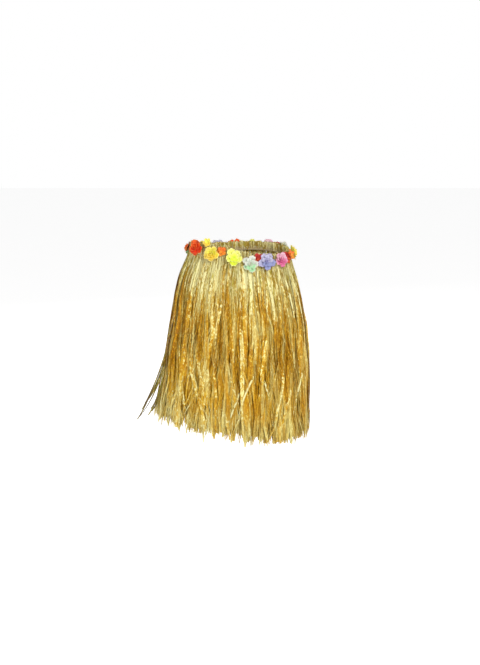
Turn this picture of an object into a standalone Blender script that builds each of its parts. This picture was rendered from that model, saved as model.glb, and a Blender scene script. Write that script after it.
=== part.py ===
"""A knee-length grass skirt, worn low on the hips: an elastic waistband, two layers of hanks of
flat grass strands sewn to it, and a garland of cloth flowers stitched over the join.

The skirt keeps the hollow form that it has when worn. Metres, +Z up, front towards -Y. The origin is
the middle of the waist opening, level with the waistband. Angles run round the waist from the front,
growing towards +X.
"""

import math
import random
from collections import namedtuple

import bmesh
import bpy
from mathutils import Matrix, Vector

# Waistband: a closed loop of woven elastic.
BAND_HEIGHT = 0.025
BAND_THICKNESS = 0.0025
BAND_STEPS = 60

# A hank is a bunch of strands sewn side by side, built as one curved wall.
WALL = 0.003
LAYER_GAP = 0.0008
HANK_COLUMNS = 5
HANK_TOP = -0.012
HEM_LENGTH = 0.620

# The outer face of the skirt: how far it reaches to each side at a drop below the waistband.
Section = namedtuple("Section", "drop left right front back")
SECTIONS = (
    Section(HANK_TOP, 0.167, 0.160, 0.111, 0.114),
    Section(0.012, 0.170, 0.163, 0.113, 0.117),
    Section(0.040, 0.182, 0.170, 0.121, 0.127),
    Section(0.090, 0.202, 0.185, 0.131, 0.141),
    Section(0.150, 0.215, 0.199, 0.140, 0.152),
    Section(0.230, 0.226, 0.213, 0.148, 0.160),
    Section(0.330, 0.243, 0.221, 0.157, 0.168),
    Section(0.430, 0.254, 0.225, 0.166, 0.176),
    Section(HEM_LENGTH, 0.281, 0.224, 0.179, 0.189),
)

# The waistband rides higher over the left hip, and dips at the front to the right.
WAIST_TILT_SIDE = 0.0106
WAIST_TILT_FRONT = 0.0016
WAIST_TWIST = 0.0075

# The hem's own drop below the waistband, longest at the right and at the front.
HEM_DROP = 0.574
HEM_LONGER_RIGHT = 0.012
HEM_LONGER_FRONT = 0.008

# Each layer of hanks. Angles are in degrees. The hanks part from each other towards the hem.
Layer = namedtuple("Layer", "name count first crest_top crest_hem inset shorter seed")
OUTER = Layer("hank_outer", 18, 0.0, 0.0005, 0.0090, 0.0, 0.0, 11)
INNER = Layer("hank_inner", 15, 5.0, 0.0, 0.0, WALL + LAYER_GAP, 0.008, 23)
PARTING_SHIFT = 1.4
PARTING_SWAY = 1.5
PARTING_TOP = 0.16
PARTING_HEM = (0.5, 1.6)
LENGTH_SPREAD = 0.010
TIP_DEPTHS = (0.016, 0.0, 0.013, 0.002, 0.018)

# Flowers of the garland that face the front: angle in degrees, rise above the waistband, and width.
Flower = namedtuple("Flower", "name angle rise width colour")
FRONT_FLOWERS = (
    Flower("flower_amber_left", -84, 0.002, 0.040, "orange"),
    Flower("flower_scarlet", -54, 0.006, 0.056, "scarlet"),
    Flower("flower_golden", -32, -0.006, 0.053, "golden"),
    Flower("flower_lime", -7, -0.005, 0.058, "lime"),
    Flower("flower_mint", 10, -0.019, 0.053, "mint"),
    Flower("flower_lavender", 29, -0.005, 0.056, "lavender"),
    Flower("flower_pink", 49, 0.001, 0.047, "pink"),
    Flower("flower_orange_right", 71, 0.009, 0.036, "orange"),
)
# The rest of the garland is spaced evenly round the back, from the right hip to the left.
BACK_COLOURS = ("golden", "mint", "pink", "lime", "scarlet", "lavender", "golden", "mint")
BACK_WIDTH = 0.051

# Small flowers tucked under the others, flat against the strands.
UNDER_FLOWERS = (
    Flower("underflower_yellow", -39, 0.027, 0.030, "golden"),
    Flower("underflower_amber", -21, 0.006, 0.034, "orange"),
    Flower("underflower_crimson", 20, 0.002, 0.034, "crimson"),
    Flower("underflower_crimson_right", 64, 0.003, 0.042, "crimson"),
    Flower("underflower_back_right", 134, 0.003, 0.034, "crimson"),
    Flower("underflower_back", 191, 0.003, 0.034, "orange"),
    Flower("underflower_back_left", 232, 0.003, 0.034, "crimson"),
    Flower("underflower_left", 266, 0.003, 0.034, "crimson"),
)
PETALS = 5
POINTS_PER_PETAL = 3
PETAL_THICKNESS = 0.0018
NOTCH_DEPTH = 0.26
CUP_DEPTH = 0.30
FLOWER_STANDOFF = 0.0075
UNDER_STANDOFF = 0.0022
FLOWER_LEAN = math.radians(15.0)

# Strays that stand away from the left side: where each leaves the skirt, and where its tip is.
Stray = namedtuple("Stray", "name root_angle root_drop tip_out tip_drop")
STRAYS = (
    Stray("stray_long", -92, 0.400, 0.345, 0.566),
    Stray("stray_short", -78, 0.440, 0.302, 0.548),
)
STRAY_ROOT_CLEAR = 0.0035
STRAY_RADIUS = 0.0022

# Colour, roughness of each finish.
FINISHES = {
    "straw_gold": ((0.66, 0.44, 0.13), 0.38),
    "straw_pale": ((0.78, 0.63, 0.27), 0.36),
    "elastic": ((0.72, 0.60, 0.33), 0.85),
    "scarlet": ((0.85, 0.07, 0.01), 0.60),
    "golden": ((0.98, 0.60, 0.03), 0.60),
    "lime": ((0.88, 0.93, 0.04), 0.60),
    "mint": ((0.68, 0.86, 0.66), 0.60),
    "lavender": ((0.47, 0.45, 0.78), 0.60),
    "pink": ((0.84, 0.28, 0.52), 0.60),
    "orange": ((0.93, 0.26, 0.03), 0.60),
    "crimson": ((0.50, 0.02, 0.03), 0.65),
}


def remove_objects():
    """Empties the scene that the script starts in."""
    for obj in list(bpy.data.objects):
        bpy.data.objects.remove(obj)


def finish(name):
    """The material of that name, made on first use."""
    material = bpy.data.materials.get(name)
    if material is None:
        colour, roughness = FINISHES[name]
        material = bpy.data.materials.new(name)
        material.use_nodes = True
        shader = material.node_tree.nodes["Principled BSDF"]
        shader.inputs["Base Color"].default_value = (*colour, 1.0)
        shader.inputs["Roughness"].default_value = roughness
        shader.inputs["Metallic"].default_value = 0.0
    return material


def mix(a, b, share):
    """The number a share of the way from a to b."""
    return a + (b - a) * share


def waist_height(angle):
    """Height of the waistband's middle at an angle in radians."""
    side = WAIST_TILT_SIDE * math.sin(angle)
    front = WAIST_TILT_FRONT * math.cos(angle)
    return -side - front - WAIST_TWIST * math.sin(2 * angle)


def hem_drop(angle):
    """How far the hem hangs below the waistband at an angle in radians."""
    return HEM_DROP + HEM_LONGER_RIGHT * math.sin(angle) + HEM_LONGER_FRONT * math.cos(angle)


def outline(drop):
    """The skirt's reaches at a drop, on a straight line between the two nearest sections."""
    for above, below in zip(SECTIONS, SECTIONS[1:]):
        if drop <= below.drop:
            share = (drop - above.drop) / (below.drop - above.drop)
            return Section(*(mix(a, b, share) for a, b in zip(above, below)))
    return SECTIONS[-1]


def skirt_point(angle, drop, inset=0.0):
    """A point on the skirt's outer face, or that far inside it."""
    reach = outline(drop)
    across = (reach.right if math.sin(angle) > 0 else reach.left) - inset
    depth = (reach.front if math.cos(angle) > 0 else reach.back) - inset
    x = across * math.sin(angle)
    y = -depth * math.cos(angle)
    return Vector((x, y, waist_height(angle) - drop))


def outward(angle, drop):
    """The level direction that points straight out of the skirt."""
    reach = outline(drop)
    across = reach.right if math.sin(angle) > 0 else reach.left
    depth = reach.front if math.cos(angle) > 0 else reach.back
    return Vector((math.sin(angle) * depth, -math.cos(angle) * across, 0)).normalized()


def add_node(name, mesh_builder, finish_name):
    """Makes a bmesh into an object with its faces pointing out."""
    bmesh.ops.recalc_face_normals(mesh_builder, faces=mesh_builder.faces)
    mesh = bpy.data.meshes.new(name)
    mesh_builder.to_mesh(mesh)
    mesh_builder.free()
    mesh.materials.append(finish(finish_name))
    mesh.shade_smooth()
    mesh.set_sharp_from_angle(angle=math.radians(40))
    obj = bpy.data.objects.new(name, mesh)
    bpy.context.scene.collection.objects.link(obj)
    return obj


def skin_rings(mesh_builder, rings, closed_path=False):
    """Joins rings of vertices, each a closed loop, by quads from one to the next."""
    pairs = list(zip(rings, rings[1:]))
    if closed_path:
        pairs.append((rings[-1], rings[0]))
    for first, second in pairs:
        count = len(first)
        for i in range(count):
            j = (i + 1) % count
            mesh_builder.faces.new((first[i], first[j], second[j], second[i]))


def build_waistband():
    """A closed loop of tape, rectangular in section, inside both layers of hanks."""
    outer_inset = OUTER.crest_top + 2 * WALL + 2 * LAYER_GAP + INNER.crest_top
    inner_inset = outer_inset + BAND_THICKNESS
    half = BAND_HEIGHT / 2
    builder = bmesh.new()
    rings = []
    for step in range(BAND_STEPS):
        angle = 2 * math.pi * step / BAND_STEPS
        middle = waist_height(angle)
        ring = []
        for inset, rise in (
            (outer_inset, -half),
            (outer_inset, half),
            (inner_inset, half),
            (inner_inset, -half),
        ):
            point = skirt_point(angle, HANK_TOP, inset)
            point.z = middle + rise
            ring.append(builder.verts.new(point))
        rings.append(ring)
    skin_rings(builder, rings, closed_path=True)
    add_node("waistband", builder, "elastic")


def make_partings(layer, chance):
    """The lines between neighbouring hanks: the angle, sway and opening of each."""
    pitch = 360.0 / layer.count
    partings = []
    for k in range(layer.count):
        angle = layer.first + k * pitch + chance.uniform(-PARTING_SHIFT, PARTING_SHIFT)
        sway = chance.uniform(-PARTING_SWAY, PARTING_SWAY)
        partings.append((angle, sway, chance.uniform(*PARTING_HEM)))
    angle, sway, opening = partings[0]
    partings.append((angle + 360.0, sway, opening))
    return partings


def parting_edge(parting, drop, side):
    """The angle of a hank's edge beside a parting, on its growing (+1) or falling (-1) side."""
    angle, sway, opening = parting
    share = max(drop, 0.0) / HEM_LENGTH
    half_gap = PARTING_TOP + opening * share * share
    return math.radians(angle + sway * share + side * half_gap)


def build_hank(layer, number, left, right, longer, tip_turn, finish_name):
    """One hank: a curved wall with a rounded crest along its middle and a ragged hem."""
    middle = math.radians((left[0] + right[0]) / 2)
    hem = hem_drop(middle) - layer.shorter + longer
    drops = [section.drop for section in SECTIONS[:-1]]
    builder = bmesh.new()
    rings = []
    for drop in [*drops, None]:
        outer_face = []
        inner_face = []
        for column in range(HANK_COLUMNS):
            here = drop
            if here is None:
                here = hem - TIP_DEPTHS[(column + tip_turn) % len(TIP_DEPTHS)]
            share = column / (HANK_COLUMNS - 1)
            angle = mix(parting_edge(left, here, 1), parting_edge(right, here, -1), share)
            crest = mix(layer.crest_top, layer.crest_hem, max(here, 0.0) / HEM_LENGTH)
            fold = layer_inset(layer, here) + crest * (1 - math.sin(math.pi * share))
            outer_face.append(builder.verts.new(skirt_point(angle, here, fold)))
            inner_face.append(builder.verts.new(skirt_point(angle, here, fold + WALL)))
        rings.append(outer_face + inner_face[::-1])
    skin_rings(builder, rings)
    for ring in (rings[0], rings[-1]):
        for i in range(HANK_COLUMNS - 1):
            builder.faces.new((ring[i], ring[i + 1], ring[-i - 2], ring[-i - 1]))
    add_node(f"{layer.name}_{number:02d}", builder, finish_name)


def layer_inset(layer, drop):
    """How far a layer's crests lie inside the outline: the inner layer clears the outer one's folds."""
    if layer is OUTER:
        return 0.0
    outer_crest = mix(OUTER.crest_top, OUTER.crest_hem, max(drop, 0.0) / HEM_LENGTH)
    return layer.inset + outer_crest


def build_layer(layer, finish_names):
    """All the hanks of a layer, from parting to parting round the waist."""
    chance = random.Random(layer.seed)
    partings = make_partings(layer, chance)
    for k in range(layer.count):
        longer = chance.uniform(-LENGTH_SPREAD, LENGTH_SPREAD)
        tip_turn = chance.randrange(len(TIP_DEPTHS))
        finish_name = finish_names[k % len(finish_names)]
        build_hank(layer, k + 1, partings[k], partings[k + 1], longer, tip_turn, finish_name)


def build_flower(flower, standoff, cup_depth):
    """A shallow cup of petals, thin all over, facing out from the waist and a little up."""
    radius = flower.width / 2
    rim_points = PETALS * POINTS_PER_PETAL
    builder = bmesh.new()
    faces = []
    for height in (0.0, PETAL_THICKNESS):
        centre = builder.verts.new((0, 0, height))
        rings = []
        for share in (0.55, 1.0):
            ring = []
            for i in range(rim_points):
                turn = 2 * math.pi * i / rim_points
                lobe = 1 - NOTCH_DEPTH * share * (0.5 + 0.5 * math.cos(PETALS * turn))
                r = radius * share * lobe
                rise = height + cup_depth * r * r / radius
                ring.append(builder.verts.new((r * math.cos(turn), r * math.sin(turn), rise)))
            rings.append(ring)
        faces.append((centre, rings))
    for centre, rings in faces:
        inner_ring = rings[0]
        for i in range(rim_points):
            builder.faces.new((centre, inner_ring[i], inner_ring[(i + 1) % rim_points]))
        skin_rings(builder, rings)
    skin_rings(builder, [faces[0][1][1], faces[1][1][1]])
    angle = math.radians(flower.angle)
    level = outward(angle, 0.0)
    along = Vector((0, 0, 1)).cross(level)
    facing = Matrix.Rotation(-FLOWER_LEAN, 3, along) @ level
    upward = facing.cross(along)
    place = skirt_point(angle, 0.0) + level * standoff
    place.z = waist_height(angle) + flower.rise
    axes = Matrix((along, upward, facing)).transposed().to_4x4()
    bmesh.ops.transform(builder, matrix=Matrix.Translation(place) @ axes, verts=builder.verts)
    add_node(flower.name, builder, flower.colour)


def angles_evenly_between(start, stop, count):
    """Angles that cut the waist from start to stop, in degrees, into equal lengths."""
    steps = 400
    angles = [mix(start, stop, k / steps) for k in range(steps + 1)]
    points = [skirt_point(math.radians(a), 0.0) for a in angles]
    run = [0.0]
    for a, b in zip(points, points[1:]):
        run.append(run[-1] + (b - a).length)
    wanted = [run[-1] * (k + 1) / (count + 1) for k in range(count)]
    return [angles[sum(1 for r in run if r < w)] for w in wanted]


def build_garland():
    """Cupped flowers all round the waistband, and small flat ones under them."""
    for flower in FRONT_FLOWERS:
        build_flower(flower, FLOWER_STANDOFF, CUP_DEPTH)
    start = FRONT_FLOWERS[-1].angle
    stop = FRONT_FLOWERS[0].angle + 360
    places = angles_evenly_between(start, stop, len(BACK_COLOURS))
    for number, (angle, colour) in enumerate(zip(places, BACK_COLOURS), 1):
        flower = Flower(f"flower_back_{number}", angle, 0.0, BACK_WIDTH, colour)
        build_flower(flower, FLOWER_STANDOFF, CUP_DEPTH)
    for flower in UNDER_FLOWERS:
        build_flower(flower, UNDER_STANDOFF, 0.0)


def build_stray(stray):
    """A few loose strands together, as one slim tapered spike out of the skirt's side."""
    angle = math.radians(stray.root_angle)
    root = skirt_point(angle, stray.root_drop) + outward(angle, stray.root_drop) * STRAY_ROOT_CLEAR
    tip = Vector((-stray.tip_out, root.y, waist_height(angle) - stray.tip_drop))
    course = tip - root
    builder = bmesh.new()
    bmesh.ops.create_cone(
        builder,
        cap_ends=True,
        segments=6,
        radius1=STRAY_RADIUS,
        radius2=STRAY_RADIUS / 3,
        depth=course.length,
    )
    turn = course.to_track_quat("Z", "Y").to_matrix().to_4x4()
    place = Matrix.Translation((root + tip) / 2)
    bmesh.ops.transform(builder, matrix=place @ turn, verts=builder.verts)
    add_node(stray.name, builder, "straw_pale")


def main():
    """Builds every node of the skirt."""
    remove_objects()
    build_waistband()
    build_layer(INNER, ("straw_gold",))
    build_layer(OUTER, ("straw_pale", "straw_gold"))
    build_garland()
    for stray in STRAYS:
        build_stray(stray)


main()
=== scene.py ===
"""The looks of a worn grass skirt: crinkled straw ribbons gathered on an elastic waistband, and a
garland of cloth flowers stitched along it. Metres, +Z up, front towards -Y. Angles run round the
waist from the front, growing towards +X, and a drop is measured down from the waistband's middle.
"""

import logging
import math
from dataclasses import dataclass, field
from enum import Enum
from typing import Any, Optional, Sequence, Union

import bpy
import numpy as np
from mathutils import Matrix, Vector


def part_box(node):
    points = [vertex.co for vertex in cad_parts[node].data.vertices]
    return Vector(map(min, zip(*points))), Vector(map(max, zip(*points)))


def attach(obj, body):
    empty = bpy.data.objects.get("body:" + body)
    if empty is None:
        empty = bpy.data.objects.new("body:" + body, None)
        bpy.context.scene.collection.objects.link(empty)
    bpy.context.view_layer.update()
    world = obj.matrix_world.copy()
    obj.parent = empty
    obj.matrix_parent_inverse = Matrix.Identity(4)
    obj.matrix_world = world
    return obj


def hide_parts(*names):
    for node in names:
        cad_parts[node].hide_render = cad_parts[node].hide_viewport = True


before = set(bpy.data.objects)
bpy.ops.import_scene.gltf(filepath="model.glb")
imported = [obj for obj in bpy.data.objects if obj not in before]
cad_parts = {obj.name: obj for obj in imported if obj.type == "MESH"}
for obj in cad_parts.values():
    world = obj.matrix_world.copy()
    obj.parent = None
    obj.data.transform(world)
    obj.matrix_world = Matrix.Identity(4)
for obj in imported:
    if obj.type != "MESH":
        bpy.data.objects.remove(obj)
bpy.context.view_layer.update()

BODY = "root"
LOG = logging.getLogger("grass_skirt")

Colour = tuple[float, float, float]
STRAND_UV = "StrandUV"
BAKE_UV = "OFBake"
CLOTH_UV = "ClothUV"


# ---- Node trees ----


class Socket:
    """A number that a node gives, with which sums are written as Python expressions."""

    def __init__(self, tree: "Tree", socket: bpy.types.NodeSocket) -> None:
        """Wraps a socket of a tree."""
        self.tree = tree
        self.socket = socket

    def maths(self, operation: str, first: Any, second: Any = None) -> "Socket":
        """Adds a Math node.

        Args:
            operation: The Math node's operation.
            first: Its first value or link.
            second: Its second value or link, if it has one.

        Returns:
            The node's result.
        """
        values = {0: first} if second is None else {0: first, 1: second}
        return self.tree.read(self.tree.node("ShaderNodeMath", {"operation": operation}, values))

    def __add__(self, other: Any) -> "Socket":
        """Self plus other."""
        return self.maths("ADD", self, other)

    def __radd__(self, other: Any) -> "Socket":
        """Other plus self."""
        return self.maths("ADD", other, self)

    def __sub__(self, other: Any) -> "Socket":
        """Self minus other."""
        return self.maths("SUBTRACT", self, other)

    def __rsub__(self, other: Any) -> "Socket":
        """Other minus self."""
        return self.maths("SUBTRACT", other, self)

    def __mul__(self, other: Any) -> "Socket":
        """Self times other."""
        return self.maths("MULTIPLY", self, other)

    def __rmul__(self, other: Any) -> "Socket":
        """Other times self."""
        return self.maths("MULTIPLY", other, self)

    def __truediv__(self, other: Any) -> "Socket":
        """Self over other."""
        return self.maths("DIVIDE", self, other)

    def __rtruediv__(self, other: Any) -> "Socket":
        """Other over self."""
        return self.maths("DIVIDE", other, self)

    def sine(self) -> "Socket":
        """The sine of self, in radians."""
        return self.maths("SINE", self)

    def between(self, low: float, high: float) -> "Socket":
        """How far self has come from low to high, smoothed and kept from 0 to 1.

        Args:
            low: Where the change begins.
            high: Where it ends.

        Returns:
            The share of the way.
        """
        settings = {"interpolation_type": "SMOOTHSTEP"}
        made = self.tree.node("ShaderNodeMapRange", settings, {0: self, 1: low, 2: high})
        return self.tree.read(made)

    def clamped(self) -> "Socket":
        """Self kept from 0 to 1."""
        return self.tree.read(self.tree.node("ShaderNodeClamp", {}, {0: self}))


class Arrow(Socket):
    """A vector that a node gives. Sums on it go through Vector Math."""

    def maths(self, operation: str, first: Any, second: Any = None) -> "Arrow":
        """Adds a Vector Math node, as Socket.maths does for a number.

        Args:
            operation: The Vector Math node's operation.
            first: Its first vector.
            second: Its second vector.

        Returns:
            The node's result.
        """
        settings = {"operation": operation}
        made = self.tree.node("ShaderNodeVectorMath", settings, {0: first, 1: second})
        return Arrow(self.tree, made.outputs[0])

    def __mul__(self, other: Any) -> "Arrow":
        """Self made other times as long."""
        made = self.tree.node("ShaderNodeVectorMath", {"operation": "SCALE"}, {0: self, "Scale": other})
        return Arrow(self.tree, made.outputs[0])

    def __rmul__(self, other: Any) -> "Arrow":
        """Self made other times as long."""
        return self * other


Feed = Union[Socket, bpy.types.NodeSocket, float, str, Sequence[float], bpy.types.ID, None]


class Tree:
    """A node tree that is filled by method calls."""

    def __init__(self, nodes: bpy.types.NodeTree) -> None:
        """Wraps an empty tree of any kind."""
        self.nodes = nodes

    def node(
        self,
        kind: str,
        settings: Optional[dict[str, Any]] = None,
        sockets: Optional[dict[Union[str, int], Feed]] = None,
    ) -> bpy.types.Node:
        """Adds a node.

        Args:
            kind: The node's type.
            settings: Its own properties. A ramp's stops are given as (place, colour) pairs.
            sockets: The values or links of its inputs, by name or number.

        Returns:
            The node.
        """
        made = self.nodes.nodes.new(kind)
        for name, value in (settings or {}).items():
            if name == "stops":
                self.set_stops(made.color_ramp, value)
            else:
                setattr(made, name, value)
        for key, value in (sockets or {}).items():
            self.feed(made.inputs[key], value)
        return made

    @staticmethod
    def set_stops(ramp: bpy.types.ColorRamp, stops: Sequence[tuple[float, Colour]]) -> None:
        """Gives a colour ramp its stops.

        Args:
            ramp: The ramp.
            stops: A place and a colour for each.
        """
        while len(ramp.elements) < len(stops):
            ramp.elements.new(1.0)
        for element, (place, colour) in zip(ramp.elements, stops):
            element.position = place
            element.color = (*colour, 1.0)

    def feed(self, socket: bpy.types.NodeSocket, value: Feed) -> None:
        """Links an input to a socket, or sets its value.

        Args:
            socket: The input.
            value: What it is linked to or set to. None leaves it alone.
        """
        if isinstance(value, Socket):
            self.nodes.links.new(value.socket, socket)
        elif isinstance(value, bpy.types.NodeSocket):
            self.nodes.links.new(value, socket)
        elif value is not None:
            socket.default_value = value

    def read(self, made: bpy.types.Node, key: Union[str, int] = 0) -> Socket:
        """One of a node's outputs, as a number to work with."""
        return Socket(self, made.outputs[key])

    def noise(self, vector: Feed, detail: float = 2.0, roughness: float = 0.5) -> Socket:
        """Smooth noise from 0 to 1 at a vector that is already scaled."""
        sockets = {"Vector": vector, "Scale": 1.0, "Detail": detail, "Roughness": roughness}
        return self.read(self.node("ShaderNodeTexNoise", {}, sockets))

    def cells(self, vector: Feed) -> Socket:
        """A random number from 0 to 1 for each crumpled cell at a vector that is already scaled."""
        made = self.node("ShaderNodeTexVoronoi", {"feature": "F1"}, {"Vector": vector, "Scale": 1.0})
        return self.split(made.outputs["Color"])[0]

    def vector(self, x: Feed, y: Feed, z: Feed) -> Arrow:
        """A vector from three numbers."""
        made = self.node("ShaderNodeCombineXYZ", {}, {0: x, 1: y, 2: z})
        return Arrow(self, made.outputs[0])

    def split(self, vector: Feed) -> tuple[Socket, Socket, Socket]:
        """A vector's three numbers."""
        made = self.node("ShaderNodeSeparateXYZ", {}, {0: vector})
        return self.read(made, 0), self.read(made, 1), self.read(made, 2)

    def blend(self, factor: Feed, first: Feed, second: Feed, mode: str = "MIX") -> Socket:
        """Mixes two colours.

        Args:
            factor: 0 for the first, 1 for the second.
            first: The first colour.
            second: The second colour.
            mode: How they blend.

        Returns:
            The mixed colour.
        """
        settings = {"data_type": "RGBA", "blend_type": mode}
        made = self.node("ShaderNodeMix", settings, {0: factor, 6: first, 7: second})
        return self.read(made, 2)

    def ramp(self, factor: Feed, stops: Sequence[tuple[float, Colour]]) -> Socket:
        """A colour read from a ramp."""
        return self.read(self.node("ShaderNodeValToRGB", {"stops": stops}, {0: factor}))


class Surface(Tree):
    """A new material's tree, with its Principled shader."""

    def __init__(self, name: str, **constants: Feed) -> None:
        """Starts a material.

        Args:
            name: The material's name.
            constants: Values set on the shader's own sockets, with _ for a space.
        """
        self.material = bpy.data.materials.new(name)
        self.material.use_nodes = True
        super().__init__(self.material.node_tree)
        self.shader = self.nodes.nodes["Principled BSDF"]
        for key, value in constants.items():
            self.feed(self.shader.inputs[key.replace("_", " ")], value)

    def attribute(self, name: str) -> Socket:
        """A number stored on the mesh."""
        return self.read(self.node("ShaderNodeAttribute", {"attribute_name": name}), "Fac")

    def map(self, name: str) -> tuple[Socket, Socket, Socket]:
        """The coordinates of a UV map."""
        return self.split(self.node("ShaderNodeUVMap", {"uv_map": name}).outputs[0])

    def bump(self, height: Socket, distance: float, strength: float = 1.0) -> None:
        """Raises the surface by a height pattern."""
        sockets = {"Height": height, "Distance": distance, "Strength": strength}
        self.feed(self.shader.inputs["Normal"], self.node("ShaderNodeBump", {}, sockets).outputs[0])


def rgba(colour: Colour) -> tuple[float, float, float, float]:
    """A colour with full alpha."""
    return (*colour, 1.0)


def darker(colour: Colour, share: float) -> Colour:
    """A colour with its light cut to a share."""
    return tuple(part * share for part in colour)


# ---- Finishes ----


@dataclass(frozen=True)
class StrawFinish:
    """Flat, crinkled, glossy straw film: pale at the waist and the tips, deep gold between.

    A zone is where a change along the strand begins and ends. A streak has a width and a height on the
    skirt as a whole. A swing is how far a pattern moves the film's lightness. Part of the lightness is
    painted light: the paler top of the skirt, the lighter side, the pale highlight specks on the
    crinkles and the dark shade between locks at the waist.
    """

    name: str
    # How much darker or lighter the finish is: painted shade for the layers underneath, and the strays'
    # own darker colour.
    lightness: float = 0.0
    # Painted sparkle: how strongly the crinkle cells and dents paint pale specks into the colour.
    painted_sparkle: float = 1.0
    umber: Colour = (0.380, 0.165, 0.003)
    deep: Colour = (0.530, 0.245, 0.004)
    gold: Colour = (0.650, 0.345, 0.008)
    straw: Colour = (0.750, 0.510, 0.050)
    green: Colour = (0.560, 0.490, 0.070)
    pale: Colour = (0.950, 0.880, 0.430)
    warmth: Colour = (1.0, 0.95, 0.68)
    top_zone: tuple[float, float] = (0.05, 0.24)
    lower_zone: tuple[float, float] = (0.36, 0.50)
    tip_zone: tuple[float, float] = (0.52, 0.61)
    cloud_streak: tuple[float, float] = (0.055, 0.130)
    clump_streak: tuple[float, float] = (0.017, 0.190)
    # Painted shade: streaks that darken the gaps between locks at the waist and lighten the strands
    # beside them.
    painted_parting_streak: tuple[float, float] = (0.0105, 0.120)
    patch_length: float = 0.080
    fibres_across: float = 11.0
    fibres_along: float = 14.0
    pleats_across: float = 5.0
    pleats_along: float = 70.0
    crinkle_length: float = 0.0075
    crinkles_across: float = 2.4
    crinkle_height: float = 0.0017
    cloud_swing: float = 0.62
    clump_swing: float = 0.60
    patch_swing: float = 0.44
    fibre_swing: float = 0.26
    # Painted sparkle: how far the crinkle cells move the colour's lightness.
    painted_facet_swing: float = 0.60
    # Painted shade: how strongly the gaps between locks at the waist are darkened.
    painted_parting_swing: float = 1.05
    # Painted light: how much paler the top of the skirt is made, as if lit from above.
    top_painted_light: float = 0.33
    tip_lift: float = 0.20
    # Painted highlight: how much the highlight specks lighten the colour.
    painted_glint_lift: float = 0.48
    # Painted light and shade: lighter towards +X and darker towards -X, the other way round low down.
    side_painted_light: float = 0.35
    middle_light: float = 0.56

    @staticmethod
    def streaks(
        tree: Surface,
        skirt: Sequence[Socket],
        size: tuple[float, float],
        detail: float,
        roughness: float,
    ) -> Socket:
        """Noise in streaks that run down the skirt as a whole.

        Args:
            tree: The material's tree.
            skirt: The coordinates on the skirt.
            size: A streak's width and height.
            detail: The noise's detail.
            roughness: The noise's roughness.

        Returns:
            The noise.
        """
        x, y, z = skirt
        wide, tall = size
        place = tree.vector(x * (1 / wide), y * (1 / wide), z * (1 / tall))
        return tree.noise(place, detail, roughness)

    def material(self) -> bpy.types.Material:
        """The straw, reading each strand's own tone and its map across and along the strand.

        Returns:
            The material.
        """
        tree = Surface(self.name, Metallic=0.0, IOR=1.5, Specular_IOR_Level=0.22)
        across, along, _ = tree.map(STRAND_UV)
        own = tree.attribute("strand") * 3.71
        tone = tree.attribute("tone")
        skirt = tree.split(tree.node("ShaderNodeTexCoord").outputs["Object"])
        clouds = self.streaks(tree, skirt, self.cloud_streak, 2.0, 0.6)
        clumps = self.streaks(tree, skirt, self.clump_streak, 1.0, 0.5)
        # Painted shade: streaks for the shaded gaps between locks at the waist.
        painted_partings = self.streaks(tree, skirt, self.painted_parting_streak, 1.0, 0.6)
        patches = tree.noise(tree.vector(across * 0.4, along * (1 / self.patch_length), own), 2.0, 0.6)
        place = tree.vector(across * self.fibres_across, along * self.fibres_along, own)
        fibres = tree.noise(place, 3.0, 0.7)
        # The crinkle cells and dents raise bumps, and also paint highlight specks into the colour.
        place = tree.vector(across * self.crinkles_across, along * (1 / self.crinkle_length), own)
        facets = tree.cells(place)
        dents = tree.noise(place, 3.0, 0.65)
        # Painted highlight: pale specks where the crinkle cells and dents line up.
        painted_glints = facets.between(0.45, 1.0) * dents.between(0.46, 0.62)

        top = 1 - (along + (clouds - 0.5) * 0.20).between(*self.top_zone)
        lower = along.between(*self.lower_zone)
        tip = (along + (clouds - 0.5) * 0.06).between(*self.tip_zone)
        # Clouds, clumps, patches and fibres move the film's own tone; the dents and cells paint
        # sparkle.
        swings = (
            (clouds, self.cloud_swing),
            (clumps, self.clump_swing),
            (patches, self.patch_swing - lower * 0.14),
            (fibres, self.fibre_swing),
            (dents, self.painted_sparkle + top * 0.40),
            (facets, self.painted_sparkle * self.painted_facet_swing + top * 0.55),
        )
        light = tone + (self.lightness - 0.08)
        for pattern, swing in swings:
            light = light + (pattern - 0.5) * swing
        # Painted shade in the gaps between locks at the waist, with the strands beside them lighter.
        light = light + (painted_partings.between(0.38, 0.62) - 0.52) * top * self.painted_parting_swing
        # Painted light and shade: lighter towards one side of the skirt, reversed low down.
        light = light + skirt[0] * (self.side_painted_light - lower * 1.25)
        # Painted light: the top made paler as if lit from above, and painted highlight specks; the tips
        # are paler too.
        light = light + top * self.top_painted_light + tip * self.tip_lift + painted_glints * tone * self.painted_glint_lift
        contrast = 1 + top * 0.80 - lower * 0.30
        light = (self.middle_light + (light - self.middle_light) * contrast).clamped()

        stops = (
            (0.00, self.umber),
            (0.20, self.deep),
            (0.45, self.gold),
            (0.72, self.straw),
            (1.00, self.pale),
        )
        colour = tree.ramp(light, stops)
        warm = (1 - top - tip - lower * 0.4).clamped() * 0.65
        colour = tree.blend(warm, colour, rgba(self.warmth), "MULTIPLY")
        own_green = tree.noise(tree.vector(0.0, along * 6.0, own + 40.0), 1.0)
        green_patches = (own_green * 0.5 + clumps * 0.5).between(0.47, 0.60)
        greenness = (green_patches * 0.50 + top * 0.42 + tip * 0.28).clamped()
        greenish = tree.blend(light, rgba(self.green), rgba(self.pale))
        tree.feed(tree.shader.inputs["Base Color"], tree.blend(greenness, colour, greenish))
        tree.feed(tree.shader.inputs["Roughness"], 0.22 + fibres * 0.20)
        place = tree.vector(across * self.pleats_across, along * self.pleats_along, own + 9.0)
        pleats = tree.noise(place, 2.0, 0.6)
        height = dents * 1.5 + facets * 0.6 + pleats * 0.8 + fibres * 0.25
        tree.bump(height, self.crinkle_height)
        return tree.material


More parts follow.
